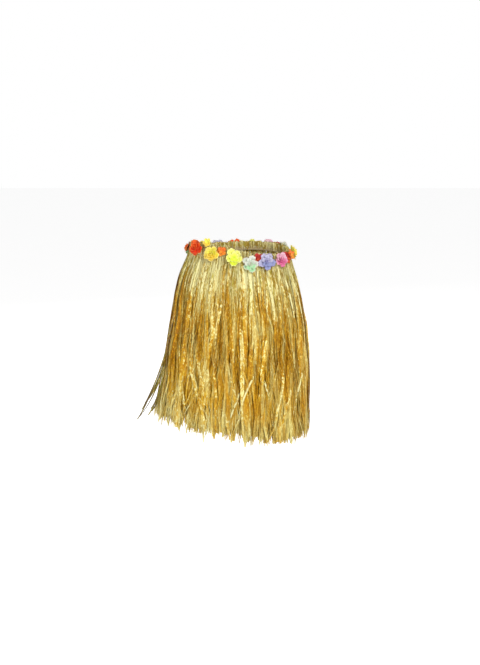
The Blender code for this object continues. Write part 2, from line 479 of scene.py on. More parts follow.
@dataclass(frozen=True)
class PetalFinish:
    """Woven polyester, heat-set, tinted from the middle of the flower to its rim."""

    name: str
    heart: Colour
    middle: Colour
    rim: Colour
    patch: Colour
    edge: Colour
    slot: str
    threads: float = 1900.0

    def material(self) -> bpy.types.Material:
        """The cloth, reading how far out each point is and which petal it is on.

        Returns:
            The material.
        """
        tree = Surface(self.name, Metallic=0.0, Sheen_Weight=0.12, Sheen_Roughness=0.4)
        reach = tree.attribute("reach")
        petal = tree.attribute("petal")
        blush = tree.attribute("blush")
        x, y, _ = tree.map(CLOTH_UV)
        cloudy = tree.noise(tree.vector(x * 90.0, y * 90.0, blush * 9.0), 3.0, 0.6)
        veins = tree.noise(tree.vector(petal * 22.0, reach * 2.0, blush * 31.0), 2.0, 0.6)
        spread = reach + (cloudy - 0.5) * 0.30
        stops = ((0.05, self.heart), (0.42, self.middle), (0.90, self.rim))
        colour = tree.ramp(spread.clamped(), stops)
        patched = blush.between(0.50, 0.66) * spread.between(0.20, 0.60)
        colour = tree.blend(patched, colour, rgba(self.patch))
        rimmed = (reach + (veins - 0.5) * 0.10).between(0.88, 0.99) * 0.75
        colour = tree.blend(rimmed, colour, rgba(self.edge))
        shade = 0.80 + veins * 0.30
        colour = tree.blend(1.0, colour, tree.vector(shade, shade, shade), "MULTIPLY")
        tree.feed(tree.shader.inputs["Base Color"], colour)
        tree.feed(tree.shader.inputs["Roughness"], 0.50 + cloudy * 0.20)
        weave = (x * self.threads).sine() * (y * self.threads).sine()
        tree.bump(weave * 0.12 + veins * 1.2 + cloudy * 0.5, 0.0005)
        return tree.material


@dataclass(frozen=True)
class ElasticFinish:
    """Ribbed woven elastic tape, ecru with rubber-thread ribs along it."""

    name: str = "elastic_tape"
    colour: Colour = (0.68, 0.55, 0.30)
    ribs: float = 2600.0
    picks: float = 1500.0

    def material(self) -> bpy.types.Material:
        """The tape, with ribs along its map's first way and picks across them.

        Returns:
            The material.
        """
        tree = Surface(self.name, Metallic=0.0)
        along, up, _ = tree.map(CLOTH_UV)
        rib = (up * self.ribs).sine() * 0.5 + 0.5
        pick = (along * self.picks).sine() * 0.5 + 0.5
        fuzz = tree.noise(tree.vector(along * 400.0, up * 400.0, 0.0), 3.0, 0.6)
        dark = rgba(darker(self.colour, 0.55))
        colour = tree.blend((rib * 0.55 + pick * 0.20 + fuzz * 0.25).clamped(), dark, rgba(self.colour))
        tree.feed(tree.shader.inputs["Base Color"], colour)
        tree.feed(tree.shader.inputs["Roughness"], 0.72 + fuzz * 0.2)
        tree.bump(rib * 0.8 + pick * 0.3 + fuzz * 0.3, 0.0005)
        return tree.material


@dataclass(frozen=True)
class ThreadFinish:
    """Twisted sewing thread."""

    name: str = "sewing_thread"
    colour: Colour = (0.80, 0.68, 0.38)

    def material(self) -> bpy.types.Material:
        """The thread, with fine twist lines.

        Returns:
            The material.
        """
        tree = Surface(self.name, Metallic=0.0)
        place = tree.node("ShaderNodeTexCoord").outputs["Object"]
        x, y, z = tree.split(place)
        twist = ((x + y + z) * 9000.0).sine() * 0.5 + 0.5
        colour = tree.blend(twist, rgba(darker(self.colour, 0.6)), rgba(self.colour))
        tree.feed(tree.shader.inputs["Base Color"], colour)
        tree.feed(tree.shader.inputs["Roughness"], 0.55 + twist * 0.2)
        tree.bump(twist, 0.0002)
        return tree.material


@dataclass(frozen=True)
class FloorFinish:
    """A plain pale studio floor."""

    name: str = "studio_floor"
    colour: Colour = (0.92, 0.92, 0.92)
    glow: float = 0.50

    def material(self) -> bpy.types.Material:
        """The floor's paint, a little mottled and lit through from below.

        Returns:
            The material.
        """
        glow = {"Emission_Color": rgba((1.0, 1.0, 1.0)), "Emission_Strength": self.glow}
        tree = Surface(self.name, Metallic=0.0, Roughness=0.9, Specular_IOR_Level=0.1, **glow)
        place = tree.node("ShaderNodeTexCoord").outputs["Object"]
        mottle = tree.noise(Arrow(tree, place) * 3.0)
        colour = tree.blend(mottle, rgba(darker(self.colour, 0.985)), rgba(self.colour))
        tree.feed(tree.shader.inputs["Base Color"], colour)
        return tree.material


# ---- The worn form ----


def mix(first: Any, second: Any, share: Any) -> Any:
    """The value a share of the way from first to second."""
    return first + (second - first) * share


def smooth(value: Any, low: float, high: float) -> Any:
    """How far value has come from low to high, eased at both ends."""
    share = np.clip((value - low) / (high - low), 0.0, 1.0)
    return share * share * (3 - 2 * share)


def unit(vectors: np.ndarray) -> np.ndarray:
    """Vectors made one long."""
    return vectors / np.maximum(np.linalg.norm(vectors, axis=-1, keepdims=True), 1e-12)


def eased(at: Any, places: np.ndarray, values: np.ndarray, reach: float) -> Any:
    """Values read off straight lines between a table's rows, eased over their bends.

    Args:
        at: Where they are read.
        places: The table's places.
        values: The table's values.
        reach: How far the easing reaches to each side.

    Returns:
        The values there.
    """
    steps = (-1.0, -0.5, 0.0, 0.5, 1.0)
    return sum(np.interp(at + step * reach, places, values) for step in steps) / len(steps)


@dataclass(frozen=True)
class SkirtForm:
    """The outer face of the skirt as it is worn: how far it reaches to each side at each drop.

    The rows are drop, left, right, front and back, the sections that the solids are built on.
    """

    sections: tuple[tuple[float, float, float, float, float], ...] = (
        (-0.012, 0.167, 0.160, 0.111, 0.114),
        (0.012, 0.170, 0.163, 0.113, 0.117),
        (0.040, 0.182, 0.170, 0.121, 0.127),
        (0.090, 0.202, 0.185, 0.131, 0.141),
        (0.150, 0.215, 0.199, 0.140, 0.152),
        (0.230, 0.226, 0.213, 0.148, 0.160),
        (0.330, 0.243, 0.221, 0.157, 0.168),
        (0.430, 0.254, 0.225, 0.166, 0.176),
        (0.620, 0.281, 0.224, 0.179, 0.189),
    )
    tilt_side: float = 0.0106
    tilt_front: float = 0.0016
    twist: float = 0.0075
    length: float = 0.574
    longer_right: float = 0.012
    longer_front: float = 0.008
    easing: float = 0.016

    def waist_height(self, angle: Any) -> Any:
        """The height of the waistband's middle at an angle."""
        level = self.tilt_side * np.sin(angle) + self.tilt_front * np.cos(angle)
        return -level - self.twist * np.sin(2 * angle)

    def hem_drop(self, angle: Any) -> Any:
        """The hem's drop below the waistband at an angle."""
        return self.length + self.longer_right * np.sin(angle) + self.longer_front * np.cos(angle)

    def reaches(self, angle: Any, drop: Any) -> tuple[Any, Any]:
        """How far the form reaches across and in depth, eased over the bends between sections.

        Args:
            angle: Angles in radians.
            drop: Drops, of the same shape.

        Returns:
            The reach across and the reach in depth at each.
        """
        drops, *columns = np.array(self.sections).T
        left, right, front, back = (eased(drop, drops, column, self.easing) for column in columns)
        across = np.where(np.sin(angle) > 0, right, left)
        depth = np.where(np.cos(angle) > 0, front, back)
        return across, depth

    def point(self, angle: Any, drop: Any, inset: Any = 0.0) -> np.ndarray:
        """Points on the form, or that far inside it.

        Args:
            angle: Angles in radians.
            drop: Drops below the waistband.
            inset: How far inside the outer face each point is.

        Returns:
            The points, one more axis than the angles.
        """
        across, depth = self.reaches(angle, drop)
        x = (across - inset) * np.sin(angle)
        y = -(depth - inset) * np.cos(angle)
        return np.stack([x, y, self.waist_height(angle) - drop], axis=-1)

    def wall(self, angle: np.ndarray, height: float, inset: Any) -> np.ndarray:
        """Points on the waistband's upright wall.

        Args:
            angle: Angles in radians.
            height: How far over the waistband's middle they are.
            inset: How far inside the form's topmost section each is.

        Returns:
            A row of x, y and z for each.
        """
        top_drop = self.sections[0][0]
        points = self.point(angle, np.full_like(angle, top_drop), inset)
        points[:, 2] = self.waist_height(angle) + height
        return points

    def stride(self, angle: Any, drop: Any) -> Any:
        """How far one radian of angle goes round the form."""
        across, depth = self.reaches(angle, drop)
        return np.hypot(across * np.cos(angle), depth * np.sin(angle))

    def level_tangent(self, angle: Any, drop: Any) -> np.ndarray:
        """The level direction that runs round the form, towards growing angles.

        Args:
            angle: Angles in radians.
            drop: Drops, of the same shape.

        Returns:
            The directions, one long.
        """
        across, depth = self.reaches(angle, drop)
        x = across * np.cos(angle)
        y = depth * np.sin(angle)
        return unit(np.stack([x, y, np.zeros_like(x)], axis=-1))

    def locate(self, points: np.ndarray) -> tuple[np.ndarray, np.ndarray]:
        """The angles and drops of points that lie on the form.

        Args:
            points: Rows of x, y and z.

        Returns:
            Their angles in radians and their drops.
        """
        angle = np.arctan2(points[:, 0], -points[:, 1])
        drop = -points[:, 2]
        for _ in range(4):
            across, depth = self.reaches(angle, drop)
            angle = np.arctan2(points[:, 0] / across, -points[:, 1] / depth)
            drop = self.waist_height(angle) - points[:, 2]
        return angle, drop


FORM = SkirtForm()


def node_points(name: str) -> np.ndarray:
    """The corners of a solid's mesh.

    Args:
        name: The solid's name.

    Returns:
        Rows of x, y and z.
    """
    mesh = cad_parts[name].data
    places = np.empty(len(mesh.vertices) * 3, np.float32)
    mesh.vertices.foreach_get("co", places)
    return places.reshape(-1, 3).astype(float)


def nodes_named(prefix: str) -> list[str]:
    """The solids whose names start so, in order."""
    return sorted(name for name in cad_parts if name.startswith(prefix))


@dataclass(frozen=True)
class Hank:
    """Where one sewn hank lies: the angles of its two edges, at the waist and at the hem."""

    top: tuple[float, float]
    hem: tuple[float, float]

    @classmethod
    def of_node(cls, name: str) -> "Hank":
        """Reads a hank from its solid.

        Args:
            name: The solid's name.

        Returns:
            The hank.
        """
        angle, drop = FORM.locate(node_points(name))
        middle = math.atan2(np.sin(angle).mean(), np.cos(angle).mean())
        turn = (angle - middle + math.pi) % (2 * math.pi) - math.pi
        spans = []
        for chosen in (drop < 0.02, drop > 0.5):
            spans.append((middle + turn[chosen].min(), middle + turn[chosen].max()))
        return cls(*spans)


# ---- Meshes ----


def link(name: str, mesh: bpy.types.Mesh) -> bpy.types.Object:
    """Puts a mesh in the scene as an object at the origin.

    Args:
        name: The object's name.
        mesh: Its mesh.

    Returns:
        The object.
    """
    piece = bpy.data.objects.new(name, mesh)
    bpy.context.scene.collection.objects.link(piece)
    return piece


def store(mesh: bpy.types.Mesh, name: str, kind: str, values: np.ndarray) -> None:
    """Stores a value on each point of a mesh.

    Args:
        mesh: The mesh.
        name: The attribute's name.
        kind: FLOAT or FLOAT_VECTOR.
        values: One number or one vector for each point.
    """
    layer = mesh.attributes.new(name, kind, "POINT")
    key = "vector" if kind == "FLOAT_VECTOR" else "value"
    layer.data.foreach_set(key, np.ascontiguousarray(values, np.float32).ravel())


def grown(
    guide: bpy.types.Object, group: bpy.types.NodeTree, values: dict[str, Any]
) -> bpy.types.Object:
    """Runs a Geometry Nodes tree on a guide and keeps the result as a plain mesh.

    Args:
        guide: The object that holds the guide points.
        group: The tree.
        values: The tree's inputs by name.

    Returns:
        The guide object, now holding the grown mesh and no modifier.
    """
    modifier = guide.modifiers.new("grow", "NODES")
    modifier.node_group = group
    for item in group.interface.items_tree:
        if item.item_type == "SOCKET" and item.in_out == "INPUT" and item.name in values:
            modifier[item.identifier] = values[item.name]
    bpy.context.view_layer.update()
    graph = bpy.context.evaluated_depsgraph_get()
    mesh = bpy.data.meshes.new_from_object(guide.evaluated_get(graph), depsgraph=graph)
    guide.modifiers.remove(modifier)
    guide.data = mesh
    mesh.name = guide.name
    return guide


class Group(Tree):
    """A new Geometry Nodes tree, with named inputs."""

    def __init__(self, name: str, inputs: Sequence[tuple[str, str, Any]]) -> None:
        """Starts a tree.

        Args:
            name: The tree's name.
            inputs: Name, socket type and default of each input after the geometry.
        """
        group = bpy.data.node_groups.new(name, "GeometryNodeTree")
        super().__init__(group)
        face = group.interface
        face.new_socket("Geometry", in_out="INPUT", socket_type="NodeSocketGeometry")
        face.new_socket("Geometry", in_out="OUTPUT", socket_type="NodeSocketGeometry")
        for title, kind, default in inputs:
            made = face.new_socket(title, in_out="INPUT", socket_type=kind)
            if default is not None:
                made.default_value = default
        self.entry = self.node("NodeGroupInput")
        self.exit = self.node("NodeGroupOutput")

    def input(self, name: str) -> Socket:
        """One of the tree's own inputs."""
        return Socket(self, self.entry.outputs[name])

    def stored(self, name: str, kind: str = "FLOAT") -> Socket:
        """A value stored on the geometry.

        Args:
            name: The attribute's name.
            kind: FLOAT or FLOAT_VECTOR.

        Returns:
            The value.
        """
        made = self.node("GeometryNodeInputNamedAttribute", {"data_type": kind}, {"Name": name})
        wrap = Arrow if kind == "FLOAT_VECTOR" else Socket
        return wrap(self, made.outputs["Attribute"])

    def keep(
        self, geometry: Feed, name: str, value: Feed, where: Feed = True, kind: str = "FLOAT"
    ) -> bpy.types.NodeSocket:
        """Stores a value on the geometry.

        Args:
            geometry: The geometry.
            name: The attribute's name.
            value: What is stored.
            where: Which points take it.
            kind: FLOAT on points, or FLOAT2 on face corners, which makes a UV map.

        Returns:
            The geometry with the value on it.
        """
        domain = "CORNER" if kind == "FLOAT2" else "POINT"
        sockets = {"Geometry": geometry, "Name": name, "Value": value, "Selection": where}
        settings = {"data_type": kind, "domain": domain}
        return self.node("GeometryNodeStoreNamedAttribute", settings, sockets).outputs[0]

    def finish(self, geometry: Feed) -> bpy.types.NodeTree:
        """Ends the tree with realized instances and the finish's material.

        Args:
            geometry: The geometry so far.

        Returns:
            The tree's own nodes.
        """
        whole = self.node("GeometryNodeRealizeInstances", {}, {0: geometry})
        sockets = {"Geometry": whole.outputs[0], "Material": self.input("Material")}
        dressed = self.node("GeometryNodeSetMaterial", {}, sockets)
        self.feed(self.exit.inputs[0], dressed.outputs[0])
        return self.nodes


def ribbon_group(columns: int = 3) -> bpy.types.NodeTree:
    """Grows a crumpled ribbon along each guide line.

    Each guide point stores which strand it is on, how far along, the ribbon's width there, and the
    two directions across the ribbon and out of its face.

    Args:
        columns: How many faces a ribbon has across.

    Returns:
        The tree.
    """
    inputs = (
        ("Fold depth", "NodeSocketFloat", 0.2),
        ("Crinkle", "NodeSocketFloat", 0.0006),
        ("Crinkle pitch", "NodeSocketFloat", 0.02),
        ("Bake columns", "NodeSocketFloat", 200.0),
        ("Seed", "NodeSocketFloat", 1.0),
        ("Material", "NodeSocketMaterial", None),
    )
    group = Group(f"straw_ribbons_{columns}", inputs)
    geometry = group.keep(group.entry.outputs[0], "column", 0.0)
    selection: Feed = True
    for column in range(1, columns + 1):
        sockets = {"Mesh": geometry, "Selection": selection, "Offset Scale": 0.0}
        wider = group.node("GeometryNodeExtrudeMesh", {"mode": "EDGES"}, sockets)
        selection = wider.outputs["Top"]
        geometry = group.keep(wider.outputs["Mesh"], "column", column / columns, selection)
    column = group.stored("column")
    strand = group.stored("strand")
    along = group.stored("along")
    width = group.stored("width")
    across = group.stored("across", "FLOAT_VECTOR")
    face = group.stored("face", "FLOAT_VECTOR")
    pitch = group.input("Crinkle pitch")
    wrinkle = group.vector(column * 0.9, along / pitch, strand * 3.17 + group.input("Seed"))
    waves = group.noise(wrinkle, 2.0) - 0.5
    section = (column * 6.6 + strand * 2.39).sine() * (column * (1 - column)) * 4.0
    height = section * width * group.input("Fold depth") * group.stored("pinch")
    lift = height + waves * group.input("Crinkle") * 2.0
    offset = across * (width * (column - 0.5)) + face * lift
    moved = group.node("GeometryNodeSetPosition", {}, {"Geometry": geometry, "Offset": offset})
    smoothed = group.node("GeometryNodeSetShadeSmooth", {}, {0: moved.outputs[0]})
    on_strand = group.vector(column, along, 0.0)
    mapped = group.keep(smoothed.outputs[0], STRAND_UV, on_strand, kind="FLOAT2")
    per_row = group.input("Bake columns")
    row = group.read(group.node("ShaderNodeMath", {"operation": "FLOOR"}, {0: strand / per_row}))
    u = (strand - row * per_row + 0.1 + column * 0.8) / per_row
    v = (row + 0.02 + group.stored("share") * 0.96) * 0.5
    return group.finish(group.keep(mapped, BAKE_UV, group.vector(u, v, 0.0), kind="FLOAT2"))


def stitch_group() -> bpy.types.NodeTree:
    """Lays a short sunken stitch of thread on each guide point, along its stored direction.

    Returns:
        The tree.
    """
    inputs = (
        ("Stitch length", "NodeSocketFloat", 0.004),
        ("Thread radius", "NodeSocketFloat", 0.0004),
        ("Material", "NodeSocketMaterial", None),
    )
    group = Group("thread_stitches", inputs)
    bead = group.node("GeometryNodeMeshUVSphere", {}, {"Segments": 6, "Rings": 5, "Radius": 1.0})
    radius = group.input("Thread radius")
    size = group.vector(radius, radius, group.input("Stitch length") * 0.5)
    long_bead = group.node("GeometryNodeTransform", {}, {0: bead.outputs[0], "Scale": size})
    shaded = group.node("GeometryNodeSetShadeSmooth", {}, {0: long_bead.outputs[0]})
    points = group.node("GeometryNodeMeshToPoints", {}, {0: group.entry.outputs[0]})
    way = group.stored("across", "FLOAT_VECTOR")
    turn = group.node("FunctionNodeAlignRotationToVector", {"axis": "Z"}, {"Vector": way})
    sockets = {"Points": points.outputs[0], "Instance": shaded.outputs[0]}
    sockets["Rotation"] = turn.outputs[0]
    placed = group.node("GeometryNodeInstanceOnPoints", {}, sockets)
    return group.finish(placed.outputs[0])


# ---- Straw ----


@dataclass
class Ribbons:
    """Guide lines of many ribbons, each array holding a row for each strand and a column a point."""

    points: np.ndarray
    across: np.ndarray
    width: np.ndarray
    pinch: np.ndarray
    tone: np.ndarray

    def lengths(self) -> np.ndarray:
        """How far along its strand each point is."""
        steps = np.linalg.norm(np.diff(self.points, axis=1), axis=2)
        return np.concatenate([np.zeros((len(steps), 1)), np.cumsum(steps, axis=1)], axis=1)

    def guide(self, name: str) -> bpy.types.Object:
        """The guide lines as an object, for the ribbon tree.

        Args:
            name: The object's name.

        Returns:
            An object of points and edges with the ribbons' values on them.
        """
        count, steps, _ = self.points.shape
        starts = np.arange(count * steps).reshape(count, steps)
        edges = np.stack([starts[:, :-1], starts[:, 1:]], axis=-1).reshape(-1, 2)
        mesh = bpy.data.meshes.new(name)
        mesh.from_pydata(self.points.reshape(-1, 3).tolist(), edges.tolist(), [])
        course = unit(np.gradient(self.points, axis=1))
        face = np.cross(course, self.across)
        along = self.lengths()
        store(mesh, "across", "FLOAT_VECTOR", self.across)
        store(mesh, "face", "FLOAT_VECTOR", face)
        store(mesh, "width", "FLOAT", self.width)
        store(mesh, "pinch", "FLOAT", self.pinch)
        store(mesh, "along", "FLOAT", along)
        store(mesh, "share", "FLOAT", along / along[:, -1:])
        store(mesh, "strand", "FLOAT", np.repeat(np.arange(count), steps))
        store(mesh, "tone", "FLOAT", self.tone)
        return link(name, mesh)

    def flat_size(self) -> tuple[float, float]:
        """The size of the ribbons laid side by side.

        Returns:
            The sum of their widths, and their mean length.
        """
        along = self.lengths()
        area = (np.diff(along, axis=1) * (self.width[:, 1:] + self.width[:, :-1]) / 2).sum()
        mean = float(along[:, -1].mean())
        return float(area) / mean, mean


def turned(across: np.ndarray, course: np.ndarray, angle: np.ndarray) -> np.ndarray:
    """Directions across the strands, squared to their course and turned round it.

    Args:
        across: Rough directions across.
        course: The strands' own directions.
        angle: How far each is turned.

    Returns:
        The turned directions, one long.
    """
    square = unit(across - course * (across * course).sum(axis=-1, keepdims=True))
    side = np.cross(course, square)
    return square * np.cos(angle)[..., None] + side * np.sin(angle)[..., None]


def wander(
    chance: np.random.Generator, count: int, share: np.ndarray, waves: Sequence[float]
) -> np.ndarray:
    """Slow random waves along each strand, nought at its top.

    Args:
        chance: The random numbers.
        count: How many strands.
        share: How far along each point is, from 0 to 1.
        waves: How many half waves each part has over the strand.

    Returns:
        A row for each strand, from about -1 to 1.
    """
    total = np.zeros((count, share.shape[-1]))
    for wave in waves:
        phase = chance.uniform(0, 2 * math.pi, (count, 1))
        size = chance.normal(0, 1, (count, 1)) / math.sqrt(wave)
        total += size * (np.sin(math.pi * wave * share + phase) - np.sin(phase))
    return total / len(waves)


@dataclass(frozen=True)
class Sowing:
    """Where a layer's strands start and end, each array a row for each strand.

    The strands of a flock are sewn on together and wander together.
    """

    top: np.ndarray
    parted: np.ndarray
    hem: np.ndarray
    place: np.ndarray
    tint: np.ndarray
    flock: np.ndarray
    flocks: int

    def drift(
        self, chance: np.random.Generator, share: np.ndarray, waves: Sequence[float]
    ) -> np.ndarray:
        """Slow random waves that the strands of a flock share, as wander gives them."""
        return wander(chance, self.flocks, share, waves)[self.flock]


@dataclass(frozen=True)
class StrandLayer:
    """One layer of strands, sewn hank by hank, each folded over the waistband at its head.

    A pair is a value at the waist and one at the hem, or the ends of a random range.
    """

    name: str
    prefix: str
    finish: StrawFinish
    slot: str
    per_hank: int
    body_steps: int
    columns: int
    inset_top: float
    inset_hem: float
    spread_top: float
    spread_hem: float
    crest: float
    width: float
    shorter: float
    tone: float
    seed: int
    locks: int = 3
    lock_pull: float = 0.62
    bunches: int = 6
    bunch_pull: float = 0.45
    bunch_tint: float = 0.13
    parting: float = 0.65
    parting_drop: float = 0.22
    scatter: float = 0.009
    short_by: float = 0.012
    short_share: float = 0.45
    long_by: tuple[float, float] = (0.004, 0.014)
    long_share: float = 0.06
    straying: float = 1.0
    own_drift: tuple[float, float] = (0.003, 0.011)
    flock_drift: tuple[float, float] = (0.006, 0.021)
    stray_by: float = 0.022
    stray_share: float = 0.10
    fraying: float = 0.009
    kinks: float = 0.0034
    own_depth: tuple[float, float] = (0.0004, 0.0026)
    flock_depth: tuple[float, float] = (0.0006, 0.0040)
    splay: float = 0.016
    proud: float = 0.007
    turning: float = 0.28
    twirl_share: float = 0.14
    width_spread: float = 0.42
    width_limits: tuple[float, float] = (0.25, 1.9)
    gathering: tuple[float, float] = (0.48, 1.0)
    fanning: tuple[float, float] = (0.85, 1.12)
    tip_start: tuple[float, float] = (0.86, 0.97)
    tip_taper: tuple[float, float] = (0.35, 0.90)
    rippling: float = 0.45
    ripple_limits: tuple[float, float] = (0.55, 1.35)
    tone_spread: float = 0.10
    tone_calm: tuple[float, float] = (1.9, 0.55)
    tone_waves: float = 0.16
    darkest: float = 0.14
    full_drop: float = 0.6
    inside_inset: float = 0.0116
    band_top: float = 0.0128
    tuft_angle: float = -0.34
    tuft_spread: float = 0.10
    tuft_height: float = 0.016

    def guides(self) -> Ribbons:
        """Works out every strand's course from the hanks' own spans.

        Returns:
            The strands' guide lines.
        """
        chance = np.random.default_rng(self.seed)
        sowing = self.sow(chance)
        long = self.lengths(chance, sowing.hem)
        head = self.head_course(chance, sowing.top)
        share = np.linspace(0.0, 1.0, self.body_steps)[None, :] ** 1.06
        drop = mix(0.004, long, share)
        swell = np.sin(math.pi * np.clip(drop / self.parting_drop, 0, 1)) ** 2
        straight = mix(mix(sowing.top, sowing.parted, swell), sowing.hem, share)
        angle = straight + self.sideways(chance, sowing, share) / FORM.stride(straight, drop)
        inset = self.insets(chance, sowing, share, drop)

        angle = np.concatenate([np.repeat(sowing.top, head.shape[1], axis=1), angle], axis=1)
        drops = np.concatenate([head[..., 0], drop], axis=1)
        points = FORM.point(angle, drops, np.concatenate([head[..., 1], inset], axis=1))
        course = unit(np.gradient(points, axis=1))
        return Ribbons(
            points=points,
            across=turned(FORM.level_tangent(angle, drops), course, self.turns(chance, drops)),
            width=self.widths(chance, drops, long),
            pinch=mix(2.0, 1.0, smooth(drops, 0.0, 0.14)),
            tone=self.tones(chance, drops, sowing.tint),
        )

    def sow(self, chance: np.random.Generator) -> Sowing:
        """Spreads the strands over the hanks, drawn into bunches at the waist and locks at the hem.

        Args:
            chance: The random numbers.

        Returns:
            Where the strands start and end.
        """
        spans = [Hank.of_node(name) for name in nodes_named(self.prefix)]
        each = self.per_hank
        column = (each * len(spans), 1)
        sown = (np.arange(each) + chance.uniform(0.05, 0.95, (len(spans), each))) / each
        locks = chance.integers(self.locks - 1, self.locks + 2, (len(spans), 1))
        centre = (np.floor(sown * locks) + 0.5) / locks + chance.normal(0, 0.03, sown.shape)
        gathered = mix(sown, centre, self.lock_pull * chance.uniform(0.5, 1.1, sown.shape))
        bunch = np.floor(sown * self.bunches).astype(int)
        tints = chance.normal(0, self.bunch_tint, (len(spans), self.bunches))
        sewn = mix(sown, (bunch + 0.5) / self.bunches, self.bunch_pull)
        tops = np.array([hank.top for hank in spans])
        hems = np.array([hank.hem for hank in spans])
        top = mix(tops[:, :1], tops[:, 1:], sewn).reshape(column)
        return Sowing(
            top=top,
            parted=mix(top, mix(tops[:, :1], tops[:, 1:], gathered).reshape(column), self.parting),
            hem=mix(hems[:, :1], hems[:, 1:], gathered).reshape(column),
            place=sown.reshape(column),
            tint=np.take_along_axis(tints, bunch, axis=1).reshape(column),
            flock=(np.arange(len(spans))[:, None] * self.bunches + bunch).ravel(),
            flocks=len(spans) * self.bunches,
        )

    def lengths(self, chance: np.random.Generator, hem: np.ndarray) -> np.ndarray:
        """How far down the strands reach: most to the hem, many a little short, a few past it.

        Args:
            chance: The random numbers.
            hem: Each strand's angle at the hem.

        Returns:
            The drop of each strand's tip.
        """
        shape = hem.shape
        long = FORM.hem_drop(hem) - self.shorter + chance.normal(0, self.scatter, shape)
        long -= chance.exponential(self.short_by, shape) * (chance.random(shape) < self.short_share)
        long += chance.uniform(*self.long_by, shape) * (chance.random(shape) < self.long_share)
        return long

    def sideways(self, chance: np.random.Generator, sowing: Sowing, share: np.ndarray) -> np.ndarray:
        """How far the strands stray round the skirt from their straight courses.

        Args:
            chance: The random numbers.
            sowing: Where the strands start and end.
            share: How far along its strand each point is.

        Returns:
            Metres towards growing angles, for each point.
        """
        shape = sowing.top.shape
        loose = smooth(share, 0.0, 0.5)
        own = wander(chance, len(sowing.top), share, (1, 2, 3.3, 6))
        own = own * mix(*self.own_drift, loose) * loose
        shared = sowing.drift(chance, share, (1.5, 2.5, 4, 7)) * mix(*self.flock_drift, loose)
        strays = (chance.random(shape) < self.stray_share) * chance.normal(0, self.stray_by, shape)
        strays = strays * smooth(share, 0.35, 1.0)
        frayed = chance.normal(0, self.fraying, shape) * smooth(share, 0.80, 1.0)
        kinks = wander(chance, len(sowing.top), share, (15, 23)) * self.kinks
        return (own + shared + strays + frayed + kinks) * self.straying

    def insets(
        self, chance: np.random.Generator, sowing: Sowing, share: np.ndarray, drop: np.ndarray
    ) -> np.ndarray:
        """How far inside the form the strands hang. At the left, the hem flares out past it.

        Args:
            chance: The random numbers.
            sowing: Where the strands start and end.
            share: How far along its strand each point is.
            drop: Each point's drop.

        Returns:
            Each point's inset.
        """
        shape = sowing.top.shape
        loose = smooth(share, 0.0, 0.5)
        inset = mix(self.inset_top, self.inset_hem, smooth(drop, 0.0, 0.30))
        spread = mix(self.spread_top, self.spread_hem, smooth(drop, 0.0, 0.35))
        inset = inset + spread * chance.uniform(-1, 1, shape)
        inset += wander(chance, len(sowing.top), share, (2, 4, 7)) * mix(*self.own_depth, loose)
        inset += sowing.drift(chance, share, (2, 4, 6)) * mix(*self.flock_depth, loose)
        fold = self.crest * share * (1 - np.sin(math.pi * np.clip(sowing.place, 0, 1)))
        flick = chance.normal(0.0015, 0.0045, shape) * smooth(share, 0.80, 1.0)
        left_side = np.maximum(-np.sin(sowing.hem), 0.0) ** 3
        splay = chance.random(shape) ** 2 * left_side * self.splay * smooth(share, 0.50, 1.0)
        return np.maximum(inset + fold - flick, -self.proud) - splay

    def turns(self, chance: np.random.Generator, drops: np.ndarray) -> np.ndarray:
        """How far the ribbons are turned round their own courses. Some twirl right over.

        Args:
            chance: The random numbers.
            drops: Each point's drop.

        Returns:
            An angle for each point.
        """
        shape = (len(drops), 1)
        free = smooth(drops, 0.01, 0.10)
        share = np.clip(drops / self.full_drop, 0, 1)
        turn = chance.normal(0, self.turning, shape) * mix(1.1, 1.0, free)
        turn = turn + wander(chance, len(drops), share, (1, 2.5, 5, 11)) * mix(0.6, 1.0, free)
        twirl = (chance.random(shape) < self.twirl_share) * chance.choice([-1.0, 1.0], shape) * math.pi
        return turn + twirl * smooth(share, 0.2, 0.95)

    def widths(self, chance: np.random.Generator, drops: np.ndarray, long: np.ndarray) -> np.ndarray:
        """How wide the ribbons are: drawn in at the waist, full below it and tapered at the tip.

        Args:
            chance: The random numbers.
            drops: Each point's drop.
            long: The drop of each strand's tip.

        Returns:
            A width for each point.
        """
        shape = (len(drops), 1)
        narrowest, broadest = self.width_limits
        width = self.width * np.exp(chance.normal(0, self.width_spread, shape))
        width = np.clip(width, self.width * narrowest, self.width * broadest)
        gather = mix(*self.gathering, smooth(drops, 0.0, 0.11))
        gather = gather * mix(*self.fanning, smooth(drops, 0.05, 0.45))
        start = chance.uniform(*self.tip_start, shape)
        near_tip = np.clip((drops / long - start) / (1 - start), 0, 1)
        taper = 1 - chance.uniform(*self.tip_taper, shape) * near_tip
        share = np.clip(drops / self.full_drop, 0, 1)
        ripple = 1 + self.rippling * wander(chance, len(drops), share, (5, 9, 17))
        return width * gather * taper * np.clip(ripple, *self.ripple_limits)

    def tones(self, chance: np.random.Generator, drops: np.ndarray, tint: np.ndarray) -> np.ndarray:
        """How light the ribbons are: most mixed at the waist, calmer below it.

        Args:
            chance: The random numbers.
            drops: Each point's drop.
            tint: What each strand's bunch adds.

        Returns:
            A tone for each point.
        """
        calm = mix(*self.tone_calm, smooth(drops, 0.06, 0.28))
        tone = self.tone + (chance.normal(0, self.tone_spread, (len(drops), 1)) + tint) * calm
        share = np.clip(drops / self.full_drop, 0, 1)
        waves = wander(chance, len(drops), share, (1, 3, 7)) * self.tone_waves
        return np.maximum(tone + waves, self.darkest)

